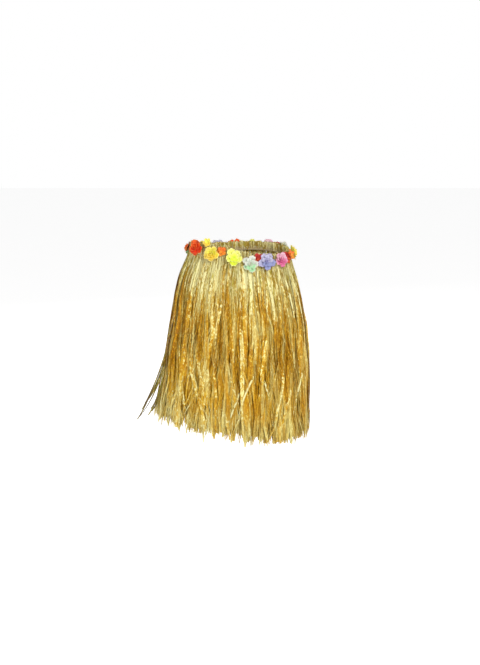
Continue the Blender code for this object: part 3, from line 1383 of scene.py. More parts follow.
    def head_course(self, chance: np.random.Generator, angle: np.ndarray) -> np.ndarray:
        """The strands' heads: up inside the waistband, over its top and down outside it.

        Args:
            chance: The random numbers.
            angle: Each strand's angle at the waist.

        Returns:
            Drop and inset at each point of each head.
        """
        shape = angle.shape
        loop = chance.exponential(0.0016, shape) + 0.0006
        from_tuft = (angle - self.tuft_angle + math.pi) % (2 * math.pi) - math.pi
        near_tuft = np.exp(-((from_tuft / self.tuft_spread) ** 2))
        ripple = 0.0012 * np.sin(angle * 23.0)
        loop += near_tuft * chance.uniform(0.0, self.tuft_height, shape) + ripple
        loop = np.maximum(loop, 0.0004)
        inside = self.inside_inset + chance.uniform(0.0, 0.0016, shape)
        outside = self.inset_top + self.spread_top * chance.uniform(-1, 1, shape)
        tail = chance.uniform(0.004, 0.013, shape)
        rows = (
            (tail, inside),
            (-0.004 + 0 * loop, inside),
            (-self.band_top - loop * 0.55, inside - 0.0004),
            (-self.band_top - loop, mix(inside, outside, 0.35)),
            (-self.band_top - loop * 0.9, mix(inside, outside, 0.72)),
            (-self.band_top + 0.0010 - loop * 0.4, outside - 0.0002),
            (-0.005 + 0 * loop, outside),
        )
        return np.stack([np.concatenate(row, axis=1) for row in rows], axis=1)


class Lie(Enum):
    """How a ribbon that is placed one by one faces."""

    FLAT = 0.0
    SLANT = 0.45


@dataclass(frozen=True)
class FaceRibbon:
    """A strand on the outside that is broad and bright along one stretch.

    The stretch goes through places given as angle in degrees and drop. Below it, the strand goes on to
    the hem. Above it, the strand comes from the waist, unless it is loose. The brightness along the
    stretch is a painted highlight on the glossy film.
    """

    places: tuple[tuple[float, float], ...]
    width: float
    tone: float = 0.95
    lie: Lie = Lie.FLAT
    loose: bool = False
    head: float = 0.02
    hem: float = 0.575
    longest_rise: float = 0.20
    shortest_part: float = 0.03
    lean_above: float = 0.35
    lean_below: float = 0.55

    @property
    def start(self) -> float:
        """The drop where the bright stretch begins."""
        return self.places[0][1]

    @property
    def stop(self) -> float:
        """The drop where the bright stretch ends."""
        return self.places[-1][1]

    def course(self) -> np.ndarray:
        """The whole strand's places, from its head to its tip.

        Returns:
            Rows of angle in degrees and drop.
        """
        first, last = self.places[0][0], self.places[-1][0]
        slope = (last - first) / max(self.stop - self.start, 0.05)
        rise = min(self.start - self.head, self.longest_rise)
        above: list[tuple[float, float]] = []
        if not self.loose and rise >= self.shortest_part:
            above.append((first - slope * rise * self.lean_above, self.start - rise))
            if above[0][1] > 2 * self.head:
                above.insert(0, (above[0][0], self.head))
        fall = self.hem - self.stop
        below: list[tuple[float, float]] = []
        if fall >= self.shortest_part:
            below.append((last + slope * fall * self.lean_below, self.hem))
        return np.array([*above, *self.places, *below])


FACE_RIBBONS = (
    FaceRibbon(((0, 0.235), (1, 0.300), (1, 0.376), (1, 0.45)), 0.0130, 1.0),
    FaceRibbon(((0, 0.42), (1, 0.50), (2, 0.592)), 0.0070, 0.95),
    FaceRibbon(((23, 0.25), (21, 0.272), (18, 0.338), (17, 0.37)), 0.0115, 1.0),
    FaceRibbon(((12, 0.36), (8, 0.39), (2, 0.446), (0, 0.475)), 0.0055, 0.95, Lie.SLANT, True),
    FaceRibbon(((-56, 0.30), (-53, 0.361), (-48, 0.429), (-43, 0.505)), 0.0085, 0.90),
    FaceRibbon(((-41, 0.37), (-38, 0.399), (-32, 0.457), (-27, 0.515), (-23, 0.575)), 0.0105, 0.95),
    FaceRibbon(((-39, 0.36), (-36, 0.405), (-30, 0.470), (-26, 0.530)), 0.0080, 0.88, Lie.SLANT),
    FaceRibbon(((-35, 0.33), (-33, 0.362), (-30, 0.408), (-24, 0.490)), 0.0075, 0.90),
    FaceRibbon(((-1, 0.43), (-2, 0.448), (-6, 0.493), (-8, 0.525)), 0.0055, 0.95, Lie.SLANT, True),
    FaceRibbon(((36, 0.34), (37, 0.395), (33, 0.447), (29, 0.513), (27, 0.590)), 0.0090, 1.0),
    FaceRibbon(((49, 0.28), (50, 0.31), (51, 0.34)), 0.0070, 0.90),
    FaceRibbon(((-17, 0.17), (-19, 0.213), (-20, 0.260)), 0.0090, 0.85),
    FaceRibbon(((-35, 0.05), (-36, 0.09), (-36, 0.150)), 0.0085, 0.90),
    FaceRibbon(((-47, 0.03), (-49, 0.08), (-51, 0.170)), 0.0070, 0.85),
    FaceRibbon(((-26, 0.03), (-27, 0.08), (-28, 0.140)), 0.0070, 0.80),
    FaceRibbon(((64, 0.36), (62, 0.382), (56, 0.415)), 0.0080, 0.95, Lie.SLANT, True),
    FaceRibbon(((-20, 0.35), (-20, 0.378), (-18, 0.433), (-18, 0.500)), 0.0090, 0.80),
    FaceRibbon(((-10, 0.34), (-9, 0.362), (-6, 0.416), (-2, 0.460)), 0.0055, 0.85, Lie.SLANT),
    FaceRibbon(((19, 0.38), (20, 0.398), (23, 0.430)), 0.0055, 0.95, Lie.SLANT, True),
    FaceRibbon(((46, 0.42), (43, 0.444), (37, 0.510), (34, 0.560)), 0.0070, 0.90, Lie.SLANT),
    FaceRibbon(((9, 0.05), (10, 0.11), (8, 0.18)), 0.0080, 0.80),
    FaceRibbon(((28, 0.05), (30, 0.12), (31, 0.19)), 0.0080, 0.85),
    FaceRibbon(((52, 0.04), (54, 0.12), (56, 0.20)), 0.0075, 0.85),
    FaceRibbon(((70, 0.10), (72, 0.20), (70, 0.30)), 0.0080, 0.80),
    FaceRibbon(((82, 0.30), (80, 0.42), (81, 0.56)), 0.0080, 0.85),
    FaceRibbon(((102, 0.34), (99, 0.44), (101, 0.56)), 0.0090, 0.95, Lie.SLANT),
    FaceRibbon(((118, 0.05), (121, 0.14), (119, 0.24)), 0.0090, 0.90),
    FaceRibbon(((146, 0.30), (143, 0.36), (147, 0.45), (150, 0.57)), 0.0100, 0.95, Lie.SLANT),
    FaceRibbon(((160, 0.04), (163, 0.10), (162, 0.20)), 0.0080, 0.85),
    FaceRibbon(((170, 0.22), (171, 0.30), (168, 0.43), (169, 0.57)), 0.0120, 1.0),
    FaceRibbon(((188, 0.32), (184, 0.40), (187, 0.48), (191, 0.56)), 0.0075, 0.90, Lie.SLANT),
    FaceRibbon(((196, 0.04), (195, 0.10), (197, 0.18)), 0.0080, 0.85),
    FaceRibbon(((209, 0.25), (212, 0.36), (208, 0.50)), 0.0100, 0.90),
    FaceRibbon(((233, 0.30), (236, 0.38), (231, 0.46), (233, 0.56)), 0.0085, 0.95),
    FaceRibbon(((245, 0.05), (246, 0.12), (244, 0.22)), 0.0080, 0.85),
    FaceRibbon(((256, 0.28), (258, 0.34), (261, 0.44), (259, 0.55)), 0.0090, 0.90, Lie.SLANT),
    FaceRibbon(((276, 0.24), (277, 0.34), (274, 0.48), (276, 0.56)), 0.0085, 0.85),
    FaceRibbon(((288, 0.06), (289, 0.13), (287, 0.22)), 0.0070, 0.80),
)


@dataclass(frozen=True)
class FaceLayer:
    """The broad pale ribbons whose bright stretches are painted highlights on the glossy film, each
    laid one by one.
    """

    name: str
    finish: StrawFinish
    slot: str
    rows: tuple[FaceRibbon, ...]
    steps: int = 76
    columns: int = 3
    inset: float = -0.0008
    bright_lift: float = 0.0016
    plain_sink: float = 0.0015
    head_tuck: float = 0.006
    waviness: float = 0.0010
    turning: float = 0.45
    roughness: float = 0.35
    past_hem: float = 0.004
    easing: float = 0.02
    fade: float = 0.030
    lowest_fade: float = 0.55
    plain_tone: float = 0.42
    plain_share: float = 0.62
    end_width: float = 0.35
    end_share: float = 0.05
    dimming: float = 0.14
    seed: int = 5

    def lay(self, row: FaceRibbon) -> tuple[np.ndarray, np.ndarray, np.ndarray]:
        """Reads one ribbon's places as one smooth course, bright only along its own stretch.

        Args:
            row: The ribbon.

        Returns:
            The angle, the drop and the share of the painted highlight at each point.
        """
        course = row.course()
        hem = float(FORM.hem_drop(math.radians(course[-1, 0]))) + self.past_hem
        drop = np.linspace(course[0, 1], min(course[-1, 1], hem), self.steps)
        angle = np.radians(eased(drop, course[:, 1], course[:, 0], self.easing))
        # Painted highlight: bright from the stretch's start to its stop, or to the end when it stops
        # low.
        begun = smooth(drop, row.start - self.fade, row.start + self.fade)
        over = smooth(drop, row.stop - self.fade, row.stop + self.fade)
        return angle, drop, begun * (1 - over * (row.stop < self.lowest_fade))

    def guides(self) -> Ribbons:
        """Lays every ribbon a little outside the strands, and its plain parts among them.

        Returns:
            The ribbons' guide lines.
        """
        chance = np.random.default_rng(self.seed)
        count = len(self.rows)
        share = np.linspace(0, 1, self.steps)[None, :]
        angle, drop, highlight_share = (np.array(part) for part in zip(*map(self.lay, self.rows)))
        tucked = self.head_tuck * smooth(-share, -0.10, 0.0)
        inset = self.inset - self.bright_lift * highlight_share + tucked + self.plain_sink * (1 - highlight_share)
        inset = inset + wander(chance, count, share, (3, 6)) * self.waviness
        points = FORM.point(angle, drop, inset)
        course = unit(np.gradient(points, axis=1))
        lies = np.array([[row.lie.value] for row in self.rows])
        turn = lies + wander(chance, count, share, (1, 3, 8)) * self.turning
        rough = 1 + self.roughness * wander(chance, count, share, (5, 11, 19))
        ends = np.clip(np.minimum(share, 1 - share) / self.end_share, 0, 1)
        width = np.array([[row.width] for row in self.rows]) * mix(self.end_width, 1.0, ends)
        # Painted highlight: the tone along each ribbon's bright stretch.
        bright = np.array([[row.tone] for row in self.rows]) - self.dimming
        return Ribbons(
            points=points,
            across=turned(FORM.level_tangent(angle, drop), course, turn),
            width=width * mix(self.plain_share, 1.0, highlight_share) * np.clip(rough, 0.6, 1.3),
            pinch=np.ones_like(angle),
            tone=mix(self.plain_tone, bright, highlight_share),
        )


@dataclass(frozen=True)
class StrayLayer:
    """Thin strays that stand away from the left side of the hem."""

    name: str
    finish: StrawFinish
    slot: str
    nodes: tuple[str, ...] = ("stray_long", "stray_short")
    each: int = 5
    steps: int = 40
    columns: int = 2
    width: float = 0.0056
    root_drops: tuple[float, float] = (0.27, 0.38)
    side_drop: float = 0.47
    shorter: float = 0.11
    scatter: float = 0.006
    bow: float = 0.018
    waviness: float = 0.0022
    across: tuple[float, float, float] = (0.7, 0.35, -0.6)
    seed: int = 17

    def bend(self, chance: np.random.Generator, tip: np.ndarray, reach: float) -> np.ndarray:
        """Bends one stray from the skirt's side out to near its solid's tip.

        Args:
            chance: The random numbers.
            tip: The solid's tip.
            reach: The share of the way to the tip that it goes.

        Returns:
            The stray's points.
        """
        share = np.linspace(0, 1, self.steps)[:, None]
        angle = np.array(math.radians(-90 + chance.uniform(-14, 12)))
        root = FORM.point(angle, np.array(chance.uniform(*self.root_drops)), 0.002)
        side = FORM.point(angle, np.array(self.side_drop), -0.002)
        end = mix(side, tip, reach) + chance.normal(0, self.scatter, 3)
        end[2] = max(end[2], tip[2] - 2 * self.scatter)
        knee = mix(root, end, 0.55) + np.array([self.bow * reach, 0, -self.bow])
        course = root * (1 - share) ** 2 + 2 * knee * share * (1 - share) + end * share**2
        wave = np.sin(share * chance.uniform(4, 9) + chance.uniform(0, 6)) * self.waviness * share
        return course + wave * np.array([[1.0, 0.8, 0.0]])

    def guides(self) -> Ribbons:
        """Bends a few strays towards each solid's tip, each a little shorter than the last.

        Returns:
            The strays' guide lines.
        """
        chance = np.random.default_rng(self.seed)
        courses: list[np.ndarray] = []
        for name in self.nodes:
            low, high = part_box(name)
            tip = np.array([low.x, (low.y + high.y) / 2, low.z])
            courses += [self.bend(chance, tip, 1.0 - self.shorter * k) for k in range(self.each)]
        points = np.array(courses)
        course = unit(np.gradient(points, axis=1))
        share = np.linspace(0, 1, self.steps)[None, :]
        turn = wander(chance, len(points), share, (1, 3)) * 0.7
        level = np.broadcast_to(np.array(self.across), points.shape)
        even = np.ones((len(points), self.steps))
        width = self.width * chance.uniform(0.8, 1.3, (len(points), 1))
        tone = chance.uniform(0.05, 0.30, (len(points), 1))
        taper = mix(1.0, 0.75, share)
        return Ribbons(points, turned(level, course, turn), width * taper, even, tone * even)


@dataclass
class Straw:
    """All the straw: it is grown layer by layer, and each layer stands for its hanks."""

    layers: Sequence[Union[StrandLayer, FaceLayer, StrayLayer]]
    fold_depth: float = 0.24
    crinkle: float = 0.0007
    crinkle_pitch: float = 0.021
    pieces: list[bpy.types.Object] = field(default_factory=list)

    def build(self) -> None:
        widths = sorted({layer.columns for layer in self.layers})
        groups = {columns: ribbon_group(columns) for columns in widths}
        for number, layer in enumerate(self.layers):
            ribbons = layer.guides()
            values = {
                "Fold depth": self.fold_depth,
                "Crinkle": self.crinkle,
                "Crinkle pitch": self.crinkle_pitch,
                "Bake columns": float(math.ceil(len(ribbons.tone) / 2)),
                "Seed": 11.0 * (number + 1),
                "Material": layer.finish.material(),
            }
            piece = grown(ribbons.guide(layer.name), groups[layer.columns], values)
            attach(piece, BODY)
            ribbons.flat_size()
            self.pieces.append(piece)
            report(piece)


# ---- Waistband ----


@dataclass(frozen=True)
class StitchRow:
    """A row of stitches round the waistband: how far down, how far in and how many.

    A zigzag row is inside, on the tape's upright wall. Its stitches lean up and down by turns.
    """

    drop: float
    inset: float
    count: int
    zigzag: float = 0.0

    def lay(self) -> tuple[np.ndarray, np.ndarray]:
        """Spaces the stitches evenly.

        Returns:
            Each stitch's place and its direction.
        """
        angle = np.linspace(0, 2 * math.pi, self.count, endpoint=False)
        drop = np.full_like(angle, self.drop)
        if self.zigzag:
            places = FORM.wall(angle, -self.drop, self.inset)
        else:
            places = FORM.point(angle, drop, self.inset)
        way = FORM.level_tangent(angle, drop)
        way[:, 2] += np.where(np.arange(self.count) % 2 == 0, self.zigzag, -self.zigzag)
        return places, unit(way)


STITCH_ROWS = (
    StitchRow(-0.004, 0.0002, 168),
    StitchRow(0.006, 0.0002, 168),
    StitchRow(0.002, 0.0137, 210, zigzag=1.1),
)


@dataclass
class Waistband:
    """A closed loop of elastic tape, a little puckered where the heads are sewn to it."""

    finish: ElasticFinish
    thread: ThreadFinish
    height: float = 0.025
    thickness: float = 0.0021
    inset: float = 0.0092
    around: int = 260
    rows: int = 9
    puckers: int = 86
    pucker_depth: float = 0.00035
    map_girth: float = 0.86
    stitch_length: float = 0.0042
    thread_radius: float = 0.0004
    stitch_rows: tuple[StitchRow, ...] = STITCH_ROWS

    def build(self) -> bpy.types.Object:
        """Builds the tape and its stitches.

        Returns:
            The tape.
        """
        mesh, girth = self.weave()
        tape = link(mesh.name, mesh)
        tape.data.materials.append(self.finish.material())
        wall = tape.modifiers.new("wall", "SOLIDIFY")
        wall.thickness = self.thickness
        wall.offset = -1.0
        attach(tape, BODY)
        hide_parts("waistband")
        report(tape)
        self.build_stitches()
        return tape

    def weave(self) -> tuple[bpy.types.Mesh, float]:
        """Makes the tape's loop, one face thick.

        Returns:
            Its mesh, and the length of its edge.
        """
        angle = np.linspace(0, 2 * math.pi, self.around, endpoint=False)
        rises = np.linspace(-0.5, 0.5, self.rows) * self.height
        grid = []
        for rise in rises:
            bulge = 1 - (2 * rise / self.height) ** 2
            pucker = self.pucker_depth * np.sin(angle * self.puckers) * bulge
            grid.append(FORM.wall(angle, rise, self.inset + pucker))
        faces = []
        for low in range(0, (self.rows - 1) * self.around, self.around):
            high = low + self.around
            for k in range(self.around):
                after = (k + 1) % self.around
                faces.append((low + k, low + after, high + after, high + k))
        mesh = bpy.data.meshes.new("waistband_tape")
        mesh.from_pydata(np.concatenate(grid).tolist(), [], faces)
        self.map_tape(mesh, angle, rises)
        mesh.shade_smooth()
        return mesh, float(np.linalg.norm(np.diff(grid[0], axis=0), axis=1).sum())

    def map_tape(self, mesh: bpy.types.Mesh, angle: np.ndarray, rises: np.ndarray) -> None:
        """Gives the tape a map in metres, along it and up it.

        Args:
            mesh: The tape's mesh.
            angle: The angles of its columns.
            rises: The heights of its rows.
        """
        layer = mesh.uv_layers.new(name=CLOTH_UV)
        for loop in mesh.loops:
            row, column = divmod(loop.vertex_index, self.around)
            layer.data[loop.index].uv = (angle[column] / (2 * math.pi) * self.map_girth, rises[row])

    def build_stitches(self) -> bpy.types.Object:
        """Sews two rows of running stitch round the outside and a zigzag round the inside.

        Returns:
            The stitches.
        """
        places, ways = zip(*(row.lay() for row in self.stitch_rows))
        mesh = bpy.data.meshes.new("waist_stitches")
        mesh.from_pydata(np.concatenate(places).tolist(), [], [])
        store(mesh, "across", "FLOAT_VECTOR", np.concatenate(ways))
        values = {
            "Stitch length": self.stitch_length,
            "Thread radius": self.thread_radius,
            "Material": self.thread.material(),
        }
        piece = grown(link("waist_stitches", mesh), stitch_group(), values)
        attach(piece, BODY)
        report(piece)
        return piece


# ---- Garland ----


@dataclass(frozen=True)
class Place:
    """Where a flower sits: its middle, its radius, and its own across, up and facing directions."""

    middle: np.ndarray
    radius: float
    axes: np.ndarray

    @classmethod
    def of_node(cls, name: str) -> "Place":
        """Reads a flower's place from its solid.

        Args:
            name: The solid's name.

        Returns:
            The place.
        """
        points = node_points(name)
        middle = points.mean(axis=0)
        facing = np.linalg.svd(points - middle)[2][2]
        outward = np.array([middle[0] * 0.45, middle[1], 0.0])
        facing = facing if facing @ outward > 0 else -facing
        across = unit(np.cross([0.0, 0.0, 1.0], facing))
        axes = np.array([across, np.cross(facing, across), facing])
        flat = (points - middle) @ axes[:2].T
        depth = ((points - middle) @ facing).min()
        return cls(middle + facing * depth, float(np.hypot(*flat.T).max()), axes)


def outline_area(rim: np.ndarray) -> float:
    """The area inside a closed outline of flat points."""
    x, y = rim.T
    return 0.5 * abs(float(np.sum(x * np.roll(y, -1) - y * np.roll(x, -1))))


@dataclass(frozen=True)
class PetalRing:
    """One die-cut ring of petals, heat-set into a ruffled cup.

    Sizes are shares of the flower's radius.
    """

    reach: float
    lift: float
    cup: float
    ruffle: float
    turn: float
    petals: int = 5
    notch: float = 0.42
    crease: float = 0.10
    crease_width: float = 0.09
    sizes: tuple[float, float] = (0.88, 1.08)
    tipping: float = 0.16
    overlap: float = 0.05
    rings: int = 8
    around: int = 60

    def petal_of(self, own: np.ndarray) -> tuple[np.ndarray, np.ndarray]:
        """How far across its petal each angle is, and the petal's number."""
        turns = own * self.petals / (2 * math.pi)
        return turns % 1.0, np.floor(turns).astype(int) % self.petals

    def outline(
        self, chance: np.random.Generator, own: np.ndarray, share: np.ndarray
    ) -> np.ndarray:
        """How far out each point is on the flat cloth: lobes of uneven size, with a wavy edge.

        Args:
            chance: The random numbers.
            own: The ring's own angles, in a row.
            share: How far out its circles of points are, in a column.

        Returns:
            Shares of the flower's radius.
        """
        in_petal, number = self.petal_of(own)
        size = chance.uniform(*self.sizes, self.petals)[number]
        lobe = 1 - self.notch * np.abs(2 * in_petal - 1) ** 2.6 * share
        edge = 1 + 0.045 * np.sin(own * 17 + chance.uniform(0, 6)) * share**3
        return share * lobe * size * edge * self.reach

    def rise(
        self, chance: np.random.Generator, own: np.ndarray, share: np.ndarray
    ) -> tuple[np.ndarray, np.ndarray]:
        """Cups, tips and ruffles the petals, with a crease along the middle of each.

        Args:
            chance: The random numbers.
            own: The ring's own angles, in a row.
            share: How far out its circles of points are, in a column.

        Returns:
            Each point's height, and the share of its way out that the cupping leaves.
        """
        in_petal, number = self.petal_of(own)
        tilt = chance.uniform(-self.tipping, self.tipping, self.petals)[number]
        bowl = self.cup * share**1.7 + tilt * share**2 * np.sin(math.pi * in_petal)
        phase = chance.uniform(0, 2 * math.pi, self.petals)[number]
        waves = np.sin(in_petal * 2 * math.pi * 1.5 + phase) + 0.5 * np.sin(own * 13 + phase)
        ruffles = self.ruffle * share**2.2 * waves
        fold = np.exp(-(((in_petal - 0.5) / self.crease_width) ** 2)) * np.sin(math.pi * share)
        overlap = self.overlap * (in_petal - 0.5) * share
        height = self.lift + (bowl + ruffles + overlap - self.crease * fold) * self.reach
        left = np.sqrt(np.clip(1 - (0.75 * (bowl + ruffles * 0.5)) ** 2, 0.25, 1))
        return height, left

    def points(
        self, radius: float, turn: float, chance: np.random.Generator
    ) -> dict[str, np.ndarray]:
        """Shapes the ring.

        Args:
            radius: The flower's radius.
            turn: How far the whole flower is turned.
            chance: The random numbers.

        Returns:
            The points, and for each its reach, petal, blush and place on the flat cloth.
        """
        own = np.linspace(0, 2 * math.pi, self.around, endpoint=False)[None, :]
        share = (np.arange(1, self.rings + 1) / self.rings)[:, None]
        in_petal, number = self.petal_of(own)
        flat = self.outline(chance, own, share)
        height, left = self.rise(chance, own, share)
        x, y = np.cos(own + self.turn + turn), np.sin(own + self.turn + turn)
        hanging = 0.5 - 0.5 * np.sin((number + 0.5) * 2 * math.pi / self.petals + self.turn + turn)
        blush = 0.75 * hanging + 0.25 * chance.uniform(0, 1, self.petals)[number]
        return {
            "points": np.stack([flat * left * x, flat * left * y, height], axis=-1) * radius,
            "flat": np.stack([flat * x, flat * y], axis=-1) * radius,
            "reach": np.broadcast_to(share, flat.shape),
            "petal": np.broadcast_to(in_petal, flat.shape),
            "blush": np.broadcast_to(blush, flat.shape),
        }

    def faces(self, start: int) -> list[tuple[int, ...]]:
        """Joins the ring's points.

        Args:
            start: The number of its middle point, which its circles of points follow.

        Returns:
            The faces.
        """
        found: list[tuple[int, ...]] = []
        for k in range(self.around):
            after = (k + 1) % self.around
            found.append((start, start + 1 + k, start + 1 + after))
            for row in range(self.rings - 1):
                inner = start + 1 + row * self.around
                outer = inner + self.around
                found.append((inner + k, outer + k, outer + after, inner + after))
        return found


class Bloom(Enum):
    """The kinds of flower, each a stack of petal rings from the back to the front."""

    FULL = (
        PetalRing(1.04, 0.02, 0.18, 0.07, 0.1, notch=0.34),
        PetalRing(0.76, 0.08, 0.30, 0.08, 0.7, notch=0.34, rings=7, around=50),
        PetalRing(0.36, 0.14, 0.75, 0.10, 0.3, petals=4, rings=5, around=32),
    )
    WHORL = (
        PetalRing(1.03, 0.02, 0.16, 0.05, 0.4, notch=0.26),
        PetalRing(0.86, 0.08, 0.34, 0.06, 1.0, notch=0.28, rings=7, around=50),
        PetalRing(0.60, 0.13, 0.70, 0.05, 0.2, petals=4, notch=0.28, rings=6, around=40),
        PetalRing(0.34, 0.18, 1.10, 0.05, 0.8, petals=3, rings=4, around=24),
    )
    OPEN = (
        PetalRing(1.06, 0.03, 0.16, 0.10, 0.9, notch=0.24),
        PetalRing(0.66, 0.09, 0.22, 0.10, 0.3, notch=0.28, rings=7, around=50),
    )
    SMALL = (
        PetalRing(1.04, 0.02, 0.12, 0.08, 0.2, notch=0.32, around=50),
        PetalRing(0.55, 0.10, 0.40, 0.08, 0.8, rings=5, around=40),
    )


@dataclass(frozen=True)
class Flower:
    """One cloth flower, in the place of its solid."""

    node: str
    finish: PetalFinish
    bloom: Bloom
    seed: int
    turn: float = 0.0
    scale: float = 1.0
    cloth: float = 0.00028

    def stack(self, radius: float) -> tuple[dict[str, np.ndarray], list[tuple[int, ...]], float]:
        """Shapes the petal rings and lays them one on another.

        Args:
            radius: The flower's radius.

        Returns:
            The points with their values, the faces, and the area of the flat cloth.
        """
        chance = np.random.default_rng(self.seed)
        rows: dict[str, list[np.ndarray]] = {}
        faces: list[tuple[int, ...]] = []
        count = 0
        cut = 0.0
        for ring in self.bloom.value:
            shaped = ring.points(radius, self.turn, chance)
            middle = {
                "points": shaped["points"][0].mean(axis=0) * (1, 1, 0.6),
                "flat": (0.0, 0.0),
                "reach": 0.0,
                "petal": 0.0,
                "blush": 0.3,
            }
            for key, value in middle.items():
                values = shaped[key].reshape(-1, *shaped[key].shape[2:])
                rows.setdefault(key, []).extend([np.array([value]), values])
            faces += ring.faces(count)
            count += 1 + ring.rings * ring.around
            cut += outline_area(shaped["flat"][-1])
        return {key: np.concatenate(parts) for key, parts in rows.items()}, faces, cut

    def build(self, materials: dict[str, bpy.types.Material]) -> bpy.types.Object:
        """Sets the flower in its place and gives the cloth its thickness.

        Args:
            materials: The petal materials made so far, by name.

        Returns:
            The flower.
        """
        place = Place.of_node(self.node)
        rows, faces, cut = self.stack(place.radius * self.scale)
        name = self.node + "_bloom"
        mesh = bpy.data.meshes.new(name)
        mesh.from_pydata((place.middle + rows["points"] @ place.axes).tolist(), [], faces)
        for key in ("reach", "petal", "blush"):
            store(mesh, key, "FLOAT", rows[key])
        layer = mesh.uv_layers.new(name=CLOTH_UV)
        corners = np.empty(len(mesh.loops), np.int32)
        mesh.loops.foreach_get("vertex_index", corners)
        layer.data.foreach_set("uv", rows["flat"][corners].astype(np.float32).ravel())
        mesh.shade_smooth()
        if self.finish.name not in materials:
            materials[self.finish.name] = self.finish.material()
        mesh.materials.append(materials[self.finish.name])
        piece = link(name, mesh)
        wall = piece.modifiers.new("cloth", "SOLIDIFY")
        wall.thickness = self.cloth
        wall.offset = 0.0
        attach(piece, BODY)
        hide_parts(self.node)
        wide = 2 * place.radius * self.scale
        long = max(wide, cut / wide)
        return piece


SCARLET = PetalFinish("petal_scarlet", (0.92, 0.22, 0.01), (0.93, 0.085, 0.004), (0.94, 0.12, 0.006),
                      (0.88, 0.05, 0.004), (0.80, 0.24, 0.02), "petal_scarlet")
GOLDEN = PetalFinish("petal_golden", (1.00, 1.00, 0.08), (1.00, 0.97, 0.08), (1.00, 0.89, 0.13),
                     (1.00, 0.75, 0.07), (1.00, 0.78, 0.30), "petal_golden")
LIME = PetalFinish("petal_lime", (0.66, 0.85, 0.02), (0.86, 0.90, 0.09), (0.93, 0.91, 0.24),
                   (0.78, 0.89, 0.04), (0.94, 0.93, 0.46), "petal_lime")
MINT = PetalFinish("petal_mint", (0.74, 0.50, 0.46), (0.66, 0.74, 0.62), (0.74, 0.79, 0.70),
                   (0.42, 0.74, 0.40), (0.88, 0.70, 0.58), "petal_mint")
LAVENDER = PetalFinish("petal_lavender", (0.10, 0.08, 0.35), (0.46, 0.45, 0.66), (0.62, 0.60, 0.76),
                       (0.33, 0.37, 0.63), (0.26, 0.19, 0.40), "petal_lavender")
PINK = PetalFinish("petal_pink", (0.72, 0.03, 0.17), (0.86, 0.36, 0.54), (0.94, 0.70, 0.78),
                   (0.82, 0.20, 0.42), (0.72, 0.14, 0.30), "petal_pink")
ORANGE = PetalFinish("petal_orange", (0.96, 0.42, 0.03), (0.95, 0.28, 0.02), (0.93, 0.20, 0.02),
                     (0.95, 0.36, 0.03), (0.75, 0.10, 0.01), "petal_orange")
CRIMSON = PetalFinish("petal_crimson", (0.55, 0.05, 0.02), (0.50, 0.02, 0.02), (0.62, 0.04, 0.02),
                      (0.72, 0.10, 0.02), (0.30, 0.01, 0.01), "petal_crimson")


@dataclass
class Garland:
    """The flowers along the waistband."""

    flowers: Sequence[Flower]

    def build(self) -> list[bpy.types.Object]:
        """Builds every flower.

        Returns:
            The flowers.
        """
        materials: dict[str, bpy.types.Material] = {}
        made = [flower.build(materials) for flower in self.flowers]
        for piece in made:
            report(piece)
        return made


FLOWERS = (
    Flower("flower_amber_left", ORANGE, Bloom.FULL, 31, scale=0.80),
    Flower("flower_scarlet", SCARLET, Bloom.WHORL, 32, scale=1.04),
    Flower("flower_golden", GOLDEN, Bloom.WHORL, 33, scale=1.02),
    Flower("flower_lime", LIME, Bloom.OPEN, 34, turn=-0.65, scale=1.00),
    Flower("flower_mint", MINT, Bloom.FULL, 37, turn=0.5, scale=1.06),
    Flower("flower_lavender", LAVENDER, Bloom.FULL, 36, turn=0.2, scale=1.08),
    Flower("flower_pink", PINK, Bloom.WHORL, 38, scale=1.10),
    Flower("flower_orange_right", ORANGE, Bloom.OPEN, 39),
    Flower("flower_back_1", GOLDEN, Bloom.WHORL, 41),
    Flower("flower_back_2", MINT, Bloom.FULL, 42),
    Flower("flower_back_3", PINK, Bloom.WHORL, 43),
    Flower("flower_back_4", LIME, Bloom.OPEN, 44),
    Flower("flower_back_5", SCARLET, Bloom.FULL, 45),
    Flower("flower_back_6", LAVENDER, Bloom.FULL, 46),
    Flower("flower_back_7", GOLDEN, Bloom.WHORL, 47),
    Flower("flower_back_8", MINT, Bloom.OPEN, 48),
    Flower("underflower_yellow", GOLDEN, Bloom.SMALL, 51),
    Flower("underflower_amber", ORANGE, Bloom.SMALL, 52),
    Flower("underflower_crimson", CRIMSON, Bloom.SMALL, 53),
    Flower("underflower_crimson_right", CRIMSON, Bloom.SMALL, 54),
    Flower("underflower_back_right", CRIMSON, Bloom.SMALL, 55),
    Flower("underflower_back", ORANGE, Bloom.SMALL, 56),
    Flower("underflower_back_left", CRIMSON, Bloom.SMALL, 57),
    Flower("underflower_left", CRIMSON, Bloom.SMALL, 58),
)


# ---- Studio ----


@dataclass(frozen=True)
class Lamp:
    """A soft square light, aimed at the middle of the skirt."""

    name: str
    place: tuple[float, float, float]
    size: float
    power: float
    colour: Colour = (1.0, 1.0, 1.0)


